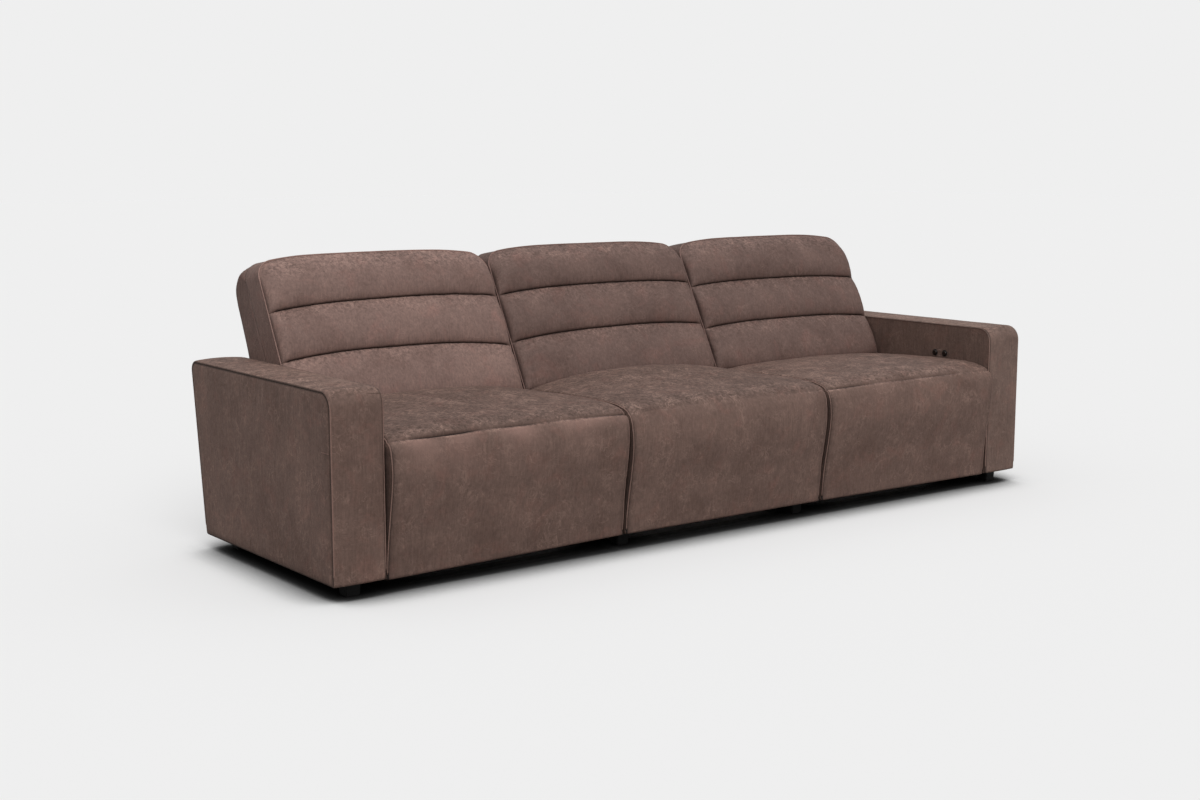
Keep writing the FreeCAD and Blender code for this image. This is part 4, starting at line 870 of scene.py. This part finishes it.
def back_front(side):
    """Grid of a back's front and its tone, from its round foot over three bands to the top edge."""
    x = back_columns()
    from_end = CUSHION_HALF - np.abs(x)[:, None]
    seed = SIDES.index(side) * 3 + BACK_SEED
    near = np.clip((np.abs(x) - (CUSHION_HALF - BAND_END)) / BAND_END, 0, 1)
    ends = np.sqrt(1 - near ** 2)
    rows = []
    sewn = [0.0] * FOOT_ROWS
    close = [0.0] * FOOT_ROWS
    for turn in np.linspace(math.asin(BACK_REAR / BACK_FACE), -math.pi / 2, FOOT_ROWS):
        rows.append((np.full_like(x, BACK_FACE * math.sin(turn)),
                     np.full_like(x, -BACK_FACE * math.cos(turn))))
    levels = [np.full_like(x, BAND_START), seam_height(LOW_SEAM[side], x),
              seam_height(HIGH_SEAM[side], x), top_height(x) - TOP_DROP]
    shares = (1 - np.cos(np.linspace(0, math.pi, BAND_ROWS))) / 2
    for band, (low, high) in enumerate(zip(levels, levels[1:])):
        tall = float(high.mean() - low.mean())
        for share in shares[min(band, 1):]:
            stand = SEAM_DEPTH + BAND_BULGE * band_shape(share)
            if band == 0:
                stand = stand - SEAM_DEPTH * (1 - share)
            if band == 2:
                stand = stand * (1 - share ** TOP_POWER) - TOP_DROP * share ** TOP_POWER
            rows.append((-BACK_FACE - stand * ends, low + (high - low) * share))
            below = share * tall if band > 0 else math.inf
            above = (1 - share) * tall if band < 2 else math.inf
            sewn.append(math.exp(-(min(below, above) / STITCH_WIDTH) ** 2))
            close.append(math.exp(-min(below, above) / PUCKER_SPREAD))
    front = np.stack([np.stack([x, depth, height], axis=1) for depth, height in rows], axis=1)
    wave = waves(front, seed, BACK_WAVES) + waves(front, seed, BACK_PUCKERS) * close
    gather = waves(front, seed, BACK_GATHERS) * np.exp(-from_end / GATHER_SPREAD)
    front[..., 1] += (wave + gather) * ends[:, None] * fade(front[..., 2], BACK_WAVE_FADE)
    # Painted shade in the seams' grooves and along the bands' side edges; rubbed wear near the top
    tone = -STITCH_SHADE * np.array(sewn) * fade(from_end, SEAM_END_FADE)
    tone = tone - EDGE_SHADE * np.exp(-(from_end / EDGE_SHADE_WIDTH) ** 2)
    rubbed = fade(front[..., 2], TOP_RUB_FADE) * np.maximum(waves(front, seed, TOP_CHANGE), 0)
    return front, tone + TOP_RUB * rubbed


def back_rear_of_cushion(front):
    """Flat rear side of a back cushion, with rows that match its front."""
    rear = front.copy()
    foot = -math.sqrt(BACK_FACE ** 2 - BACK_REAR ** 2)
    x = front[:, 0, 0]
    top = top_height(x) + TOP_ROLL
    share = np.linspace(0, 1, front.shape[1])
    rear[..., 1] = BACK_REAR
    rear[..., 2] = foot + (top[:, None] - foot) * share[None, :]
    rear[:, 0, 1] += 0.5
    return rear


def cover_grids():
    """Outer side of a back's rear cover, from its top seam down, and the side it is open to."""
    x = back_columns()
    outer = np.empty((len(x), COVER_ROWS, 3))
    inner = np.empty_like(outer)
    foot = -math.sqrt(BACK_FACE ** 2 - BACK_REAR ** 2)
    for index, place in enumerate(x):
        top = float(top_height(place)) + TOP_ROLL
        corner = BACK_TOP - COVER_TOP_DROP + (top - TOP_ROLL - BACK_TOP) * 0.4
        crest = (2 * BACK_REAR + COVER_TOP_DEPTH) / 3
        line = spline([
            (BACK_REAR, top), (crest, max(top - 2, corner + COVER_TOP_DEPTH - crest - 2)),
            (COVER_TOP_DEPTH * 0.89, corner + (COVER_TOP_DEPTH - crest) * 0.58),
            (COVER_TOP_DEPTH + 1, corner - 10), (COVER_TOP_DEPTH + 5, corner - 80), COVER_WAIST,
            (COVER_WAIST[0] + 22, COVER_WAIST[1] - 110), (COVER_BASE[0] - 3, COVER_BASE[1] + 18),
            (COVER_BASE[0] - 9, COVER_BASE[1] + 1), (COVER_BASE[0] - 60, COVER_BASE[1] * 0.2),
            (BACK_REAR + 1, foot)], COVER_ROWS)
        outer[index, :, 0] = place
        outer[index, :, 1:] = line
        inner[index, :, 0] = place
        inner[index, :, 1] = BACK_REAR + 0.4
        inner[index, :, 2] = np.linspace(top, foot, COVER_ROWS)
    return outer, inner


def make_back(side):
    x = MODULE_X[side]
    body = "root" if side == "middle" else side + "_back"
    fabric = MATERIALS["left_back_fabric" if side == "left" else "back_fabric"]
    front, tone = back_front(side)
    # The side walls of the cushion and its cover get painted shade
    cushion = slab(side + "_back_upholstery", tilted(front, x),
                   tilted(back_rear_of_cushion(front), x), tone=tone, wall_tone=BACK_WALL_SHADE)
    finish_piece(cushion, fabric, body, (side + "_back_cushion",))
    outer, inner = cover_grids()
    cover = slab(side + "_back_rear_cover", tilted(outer, x), tilted(inner, x),
                 wall_tone=COVER_WALL_SHADE)
    finish_piece(cover, MATERIALS["back_fabric"], body, (side + "_back_cover",))
    # The piping gets a painted highlight
    edge = np.vstack([front[0, PIPING_START:], front[1:-1, -1], front[-1, PIPING_START:][::-1]])
    finish_piece(tube(side + "_back_piping", tilted(edge, x)), fabric, body)


# Arms

def rounded_sides(corners, counts):
    """Sides of a rounded outline, each from the middle of one corner's arc to the next one's."""
    places = [np.array(corner[:2], float) for corner in corners]
    arcs = []
    for index, here in enumerate(places):
        radius = corners[index][2]
        before = places[index - 1] - here
        after = places[(index + 1) % len(places)] - here
        before /= np.linalg.norm(before)
        after /= np.linalg.norm(after)
        half = math.acos(float(np.clip(before @ after, -1, 1))) / 2
        towards = (before + after) / np.linalg.norm(before + after)
        centre = here + towards * radius / math.sin(half)
        swing = math.pi / 2 - half
        side_way = (after - before) / np.linalg.norm(after - before)
        angles = np.linspace(-swing, swing, ARC_POINTS)[:, None]
        arcs.append(centre + radius * (-towards * np.cos(angles) + side_way * np.sin(angles)))
    sides = []
    middle = ARC_POINTS // 2
    for index, count in enumerate(counts):
        following = arcs[(index + 1) % len(arcs)]
        sides.append(resample(np.vstack([arcs[index][middle:], following[:middle + 1]]), count))
    return sides


def filled(sides):
    """Grid of points inside four sides, from the usual blend of opposite sides."""
    bottom, rear, top, front = sides[0], sides[1], sides[2][::-1], sides[3][::-1]
    u = np.linspace(0, 1, len(bottom))[:, None, None]
    v = np.linspace(0, 1, len(front))[None, :, None]
    ruled = (1 - v) * bottom[:, None] + v * top[:, None] + (1 - u) * front[None] + u * rear[None]
    corners = ((1 - u) * (1 - v) * bottom[0] + u * (1 - v) * bottom[-1]
               + (1 - u) * v * top[0] + u * v * top[-1])
    return ruled - corners


def arm_sides(inset):
    """Side outline of an arm drawn in by an inset, except at its flat base."""
    base = ARM_CORNERS[0][1]
    lean = (ARM_CORNERS[2][0] - ARM_CORNERS[1][0]) / (ARM_CORNERS[2][1] - base)
    corners = []
    for depth, height, radius in ARM_CORNERS:
        rise = 0 if height == base else -inset
        move = inset if depth == 0 else lean * rise - inset
        corners.append((depth + move, height + rise, radius))
    return rounded_sides(corners, ARM_GRID)


def arm_inset(x):
    """How far the band's surface lies inside the outline at x, with its crown and rounded edges."""
    half = ARM_WIDTH / 2
    near = max(0.0, (abs(x) - (half - ARM_EDGE)) / ARM_EDGE)
    return ARM_DRAW * (1 - math.sqrt(max(0.0, 1 - near ** 2))) - ARM_CROWN * (1 - (x / half) ** 2)


def edge_distance(grid):
    """How far each point of a flat panel lies from the panel's edge."""
    edge = grid[edge_loop(*grid.shape[:2])]
    return np.array([[np.linalg.norm(edge - place, axis=1).min() for place in line]
                     for line in grid])


def roll(distance):
    """How far an arm's outer panel has swelled at some distance from its edge, from 0 to 1."""
    return np.sqrt(1 - (1 - np.clip(distance / ARM_ROLL, 0, 1)) ** 2)


def make_arm(side, sign):
    """An arm's cover: an outer panel, an inner panel and the crowned band between them."""
    half = ARM_WIDTH / 2
    edge = filled(arm_sides(ARM_DRAW))
    distance = edge_distance(edge)
    rolled = roll(distance)
    outer = np.dstack([sign * (half - PANEL_INSET + ARM_PUFF * rolled), edge])
    outer[..., 0] += sign * waves(outer, sign, ARM_WAVES) * rolled
    # A painted shadow under the piping along the panel's edge, and softer painted shade spreading in from it
    tone = (-ARM_EDGE_SHADOW * np.exp(-(distance / ARM_EDGE_SHADOW_WIDTH) ** 2)
            - ARM_SHADE * np.exp(-distance / ARM_SHADE_WIDTH))
    inner = np.dstack([np.full(distance.shape, -sign * (half - 1)), edge])
    loop = edge_loop(*edge.shape[:2])
    turn = np.radians(np.linspace(70, 10, ARM_EDGE_RINGS))
    reach = half - ARM_EDGE + ARM_EDGE * np.sin(turn)
    level = np.linspace(half - ARM_EDGE, ARM_EDGE - half, ARM_BAND_RINGS)
    rings = []
    for x in [*reach, *level, *-reach[::-1]]:
        outline = filled(arm_sides(arm_inset(x)))[loop]
        rings.append(np.hstack([np.full((len(outline), 1), sign * x), outline]))
    rings = np.array(rings)
    rings[..., 2] += waves(rings, sign, ARM_TOP_WAVES) * (rings[..., 2] > ARM_TOP_START)
    x = ARM_X[side]
    # The inner panel and its inner edge get painted shade
    piece = slab(side + "_arm_upholstery", moved(outer, x), moved(inner, x), moved(rings, x),
                 tone=tone, rear_tone=INNER_PANEL_SHADE, last_ring_tone=INNER_EDGE_SHADE)
    for button in ("_open_button", "_close_button"):
        cut_round(piece, middle_of(side + button), BUTTON_HOLE * MM)
    fabric = MATERIALS[side + "_arm_fabric"]
    finish_piece(piece, fabric, "root", (side + "_arm_cover",))
    path = arm_sides(ARM_DRAW - ARM_CORD_OUT)
    line = np.vstack([path[1][ARM_CORD_START:], path[2][1:], path[3][1:-ARM_CORD_START]])
    # Painted light on the cords: a highlight on the front run, shade on the top run
    upright = fade(line[:, 1], ARM_FRONT_FADE) * (line[:, 0] < ARM_FRONT_END)
    for name, way in (("outer", sign), ("inner", -sign)):
        points = np.hstack([np.full((len(line), 1), way * (half - PANEL_INSET)), line])
        cord = tube("%s_arm_piping_%s" % (side, name), moved(points, x),
                    tone=upright + ARM_CORD_TOP_SHADE)
        finish_piece(cord, fabric, "root")
    make_arm_seams(side, sign, x)


def make_arm_seams(side, sign, x):
    """The sewn joint across an arm's band at its front corner, and a short tack on its side."""
    radius = ARM_CORNERS[3][2]
    turn = math.radians(CROSS_SEAM_TURN)
    line = []
    end = ARM_WIDTH / 2 - CROSS_SEAM_MARGIN
    degrees, apart, row = WANDER
    for place in np.linspace(-end, end, CROSS_SEAM_POINTS):
        wander = math.radians(noise.noise(Vector((place / apart, row, sign))) * degrees)
        reach = radius - arm_inset(place) - CROSS_SEAM_SINK
        line.append((place, radius - reach * math.cos(turn + wander),
                     ARM_CORNERS[3][1] - radius + reach * math.sin(turn + wander)))
    # The cross seam's cord is painted dark: painted shade along the seam
    cross = tube(side + "_arm_cross_seam", moved(np.array(line), x), radius=1.0, sides=6, tone=-0.5)
    finish_piece(cross, MATERIALS[side + "_arm_fabric"], "root")
    depth = np.linspace(TACK_START, TACK_START + TACK_LENGTH, TACK_POINTS)
    out = ARM_WIDTH / 2 - TACK_SINK + ARM_PUFF * roll(depth - ARM_DRAW)
    tack = np.stack([sign * out, depth, np.full_like(depth, TACK_HEIGHT)], axis=1)
    stitch = tube(side + "_arm_tack_seam", moved(tack, x), radius=1.1, sides=6, tone=0.5)
    finish_piece(stitch, MATERIALS[side + "_arm_fabric"], "root")


# Base

def make_rear_panels():
    """Padded panels across the rear of the base, one to a module."""
    low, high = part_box("rear_base_panels")
    foot, top = low.z / MM, high.z / MM
    lower = np.radians(np.linspace(*PANEL_FOOT_TURNS))
    upper = np.radians(np.linspace(*PANEL_TOP_TURNS))
    flat = np.linspace(foot + PANEL_ROUND + 1, top - PANEL_ROUND - 1, PANEL_ROWS)
    height = np.concatenate([foot + PANEL_ROUND * (1 - np.cos(lower)), flat,
                             top - PANEL_ROUND * (1 - np.sin(upper))])
    sunk = np.concatenate([PANEL_ROUND * (1 - np.sin(lower)), np.zeros(PANEL_ROWS),
                           PANEL_ROUND * (1 - np.cos(upper))])
    x, drop = across(CUSHION_HALF, PANEL_ROUND, PANEL_COLUMNS)
    for side in SIDES:
        front = np.empty((len(x), len(height), 3))
        front[..., 0] = x[:, None]
        front[..., 1] = high.y / MM + FRONT_SETBACK - np.maximum(drop[:, None], sunk)
        front[..., 2] = height
        front[..., 1] += waves(front, SIDES.index(side), PANEL_WAVES)
        rear = front.copy()
        rear[..., 1] = low.y / MM + FRONT_SETBACK
        x_middle = MODULE_X[side]
        piece = slab(side + "_rear_panel", moved(front, x_middle), moved(rear, x_middle), steps=4)
        finish_piece(piece, MATERIALS["microfibre"], "root", ("rear_base_panels",))


def islands(node):
    """Boxes of the separate solids of a CAD node."""
    model = bmesh.new()
    model.from_mesh(frame["nodes"][node].data)
    bmesh.ops.remove_doubles(model, verts=model.verts, dist=WELD)
    seen = set()
    boxes = []
    for vert in model.verts:
        if vert in seen:
            continue
        seen.add(vert)
        stack = [vert]
        places = []
        while stack:
            here = stack.pop()
            places.append(here.co.copy())
            for edge in here.link_edges:
                other = edge.other_vert(here)
                if other not in seen:
                    seen.add(other)
                    stack.append(other)
        table = np.array(places)
        boxes.append((table.min(0), table.max(0)))
    model.free()
    return boxes


def make_feet():
    """Moulded block feet with eased edges, a little narrower at the floor."""
    boxes = sorted(islands("feet"), key=lambda box: tuple(box[0]))
    for number, (low, high) in enumerate(boxes, start=1):
        model = bmesh.new()
        bmesh.ops.create_cube(model, size=1)
        middle = (low + high) / 2
        for vert in model.verts:
            taper = FOOT_TAPER if vert.co.z < 0 else 1.0
            vert.co = Vector((middle[0] + vert.co.x * (high[0] - low[0]) * taper,
                              middle[1] + vert.co.y * (high[1] - low[1]) * taper,
                              middle[2] + vert.co.z * (high[2] - low[2])))
        bmesh.ops.bevel(model, geom=model.edges[:], offset=FOOT_EASE, segments=3, affect="EDGES")
        name = "block_foot_%d" % number
        mesh = bpy.data.meshes.new(name)
        model.to_mesh(mesh)
        model.free()
        piece = new_object(name, mesh)
        finish_piece(piece, MATERIALS["foot_black"], "root", ("feet",))


# Stage

BACKDROP = srgb(239, 239, 239)
FLOOR_SEEN = 0.965
FLOOR_BOUNCE = 0.36
FLOOR_LIFT = 0.5
CONTACT_REACH = 0.2
COVER_REACH = 1.2
CONTACT_SHADE = [(0.0, 0.01), (0.42, 0.04), (0.62, 0.5), (0.8, 0.94), (0.92, 1)]
COVER_SHADE = [(0.15, 0), (0.4, FLOOR_LIFT)]
SHADE_SAMPLES = 16
FLOOR_WIDTH = 80
HORIZON_LIGHT = 0.22
ZENITH_LIGHT = 0.60
KEY_STRENGTH = 1.25
# In degrees: the lamp's spread, its tilt from straight down and its heading
KEY_SPREAD = 40
KEY_TILT = 46
KEY_HEADING = -20
SENSOR_WIDTH = 36
LENS = 49.2
CAMERA_PLACE = (-3.502, -4.359, 1.2125)
CAMERA_PITCH = 8.449
CAMERA_HEADING = -37.323


def openness(tree, reach):
    """How open the floor is above, from 0 to 1, past what stands within reach."""
    node = tree.nodes.new("ShaderNodeAmbientOcclusion")
    node.samples = SHADE_SAMPLES
    node.inputs["Distance"].default_value = reach
    return node.outputs["AO"]


def make_floor():
    """A floor that the camera sees pale, and that throws less light back than it seems to. It is
    dark right under the sofa, and its shadow is softened only where it is open to the sky."""
    bpy.ops.mesh.primitive_plane_add(size=FLOOR_WIDTH)
    floor = bpy.context.object
    floor.name = "studio_floor"
    material, tree, shader = new_material("studio_floor", 1.0, 0.0)
    camera_ray = tree.nodes.new("ShaderNodeLightPath").outputs["Is Camera Ray"]
    contact = ramp(tree, openness(tree, CONTACT_REACH), CONTACT_SHADE)
    colour = mix(tree, camera_ray, (FLOOR_BOUNCE,) * 3, (FLOOR_SEEN,) * 3)
    tree.links.new(mix(tree, 1.0, colour, contact, "MULTIPLY"), shader.inputs["Base Color"])
    lift = tree.nodes.new("ShaderNodeEmission")
    tree.links.new(mix(tree, 1.0, BACKDROP, contact, "MULTIPLY"), lift.inputs["Color"])
    outside = ramp(tree, openness(tree, COVER_REACH), COVER_SHADE)
    share = tree.nodes.new("ShaderNodeMixShader")
    tree.links.new(maths(tree, "MULTIPLY", camera_ray, outside), share.inputs[0])
    tree.links.new(shader.outputs[0], share.inputs[1])
    tree.links.new(lift.outputs[0], share.inputs[2])
    tree.links.new(share.outputs[0], tree.nodes["Material Output"].inputs["Surface"])
    floor.data.materials.append(material)


def make_world():
    """Soft light, strongest overhead, behind a plain pale backdrop that only the camera sees."""
    world = bpy.data.worlds.new("studio")
    bpy.context.scene.world = world
    world.use_nodes = True
    tree = world.node_tree
    ambient = tree.nodes["Background"]
    ambient.inputs["Color"].default_value = (1, 1, 1, 1)
    split = tree.nodes.new("ShaderNodeSeparateXYZ")
    tree.links.new(tree.nodes.new("ShaderNodeTexCoord").outputs["Generated"], split.inputs[0])
    height = maths(tree, "MAXIMUM", split.outputs["Z"], 0.0)
    strength = maths(tree, "MULTIPLY_ADD", height, ZENITH_LIGHT, HORIZON_LIGHT)
    tree.links.new(strength, ambient.inputs["Strength"])
    seen = tree.nodes.new("ShaderNodeBackground")
    seen.inputs["Color"].default_value = (*BACKDROP, 1)
    path = tree.nodes.new("ShaderNodeLightPath")
    choice = tree.nodes.new("ShaderNodeMixShader")
    tree.links.new(path.outputs["Is Camera Ray"], choice.inputs[0])
    tree.links.new(ambient.outputs[0], choice.inputs[1])
    tree.links.new(seen.outputs[0], choice.inputs[2])
    tree.links.new(choice.outputs[0], tree.nodes["World Output"].inputs["Surface"])


def make_lamp():
    lamp = bpy.data.lights.new("key_light", "SUN")
    lamp.energy = KEY_STRENGTH
    lamp.angle = math.radians(KEY_SPREAD)
    item = new_object("key_light", lamp)
    item.rotation_euler = (math.radians(KEY_TILT), 0, math.radians(KEY_HEADING))


def make_camera():
    """The photograph's view: eye height, heading and lens found from the sofa's own lines."""
    camera = bpy.data.cameras.new("camera")
    camera.sensor_width = SENSOR_WIDTH
    camera.lens = LENS
    item = new_object("camera", camera)
    item.location = CAMERA_PLACE
    item.rotation_euler = (math.radians(90 - CAMERA_PITCH), 0, math.radians(CAMERA_HEADING))
    bpy.context.scene.camera = item


make_camera()
make_floor()
make_world()
make_lamp()
bpy.context.scene.view_settings.view_transform = "Standard"
dress_frame()
for side in SIDES:
    make_seat(side)
    make_back(side)
make_arm("left", -1)
make_arm("right", 1)
make_rear_panels()
make_feet()

bpy.context.view_layer.update()
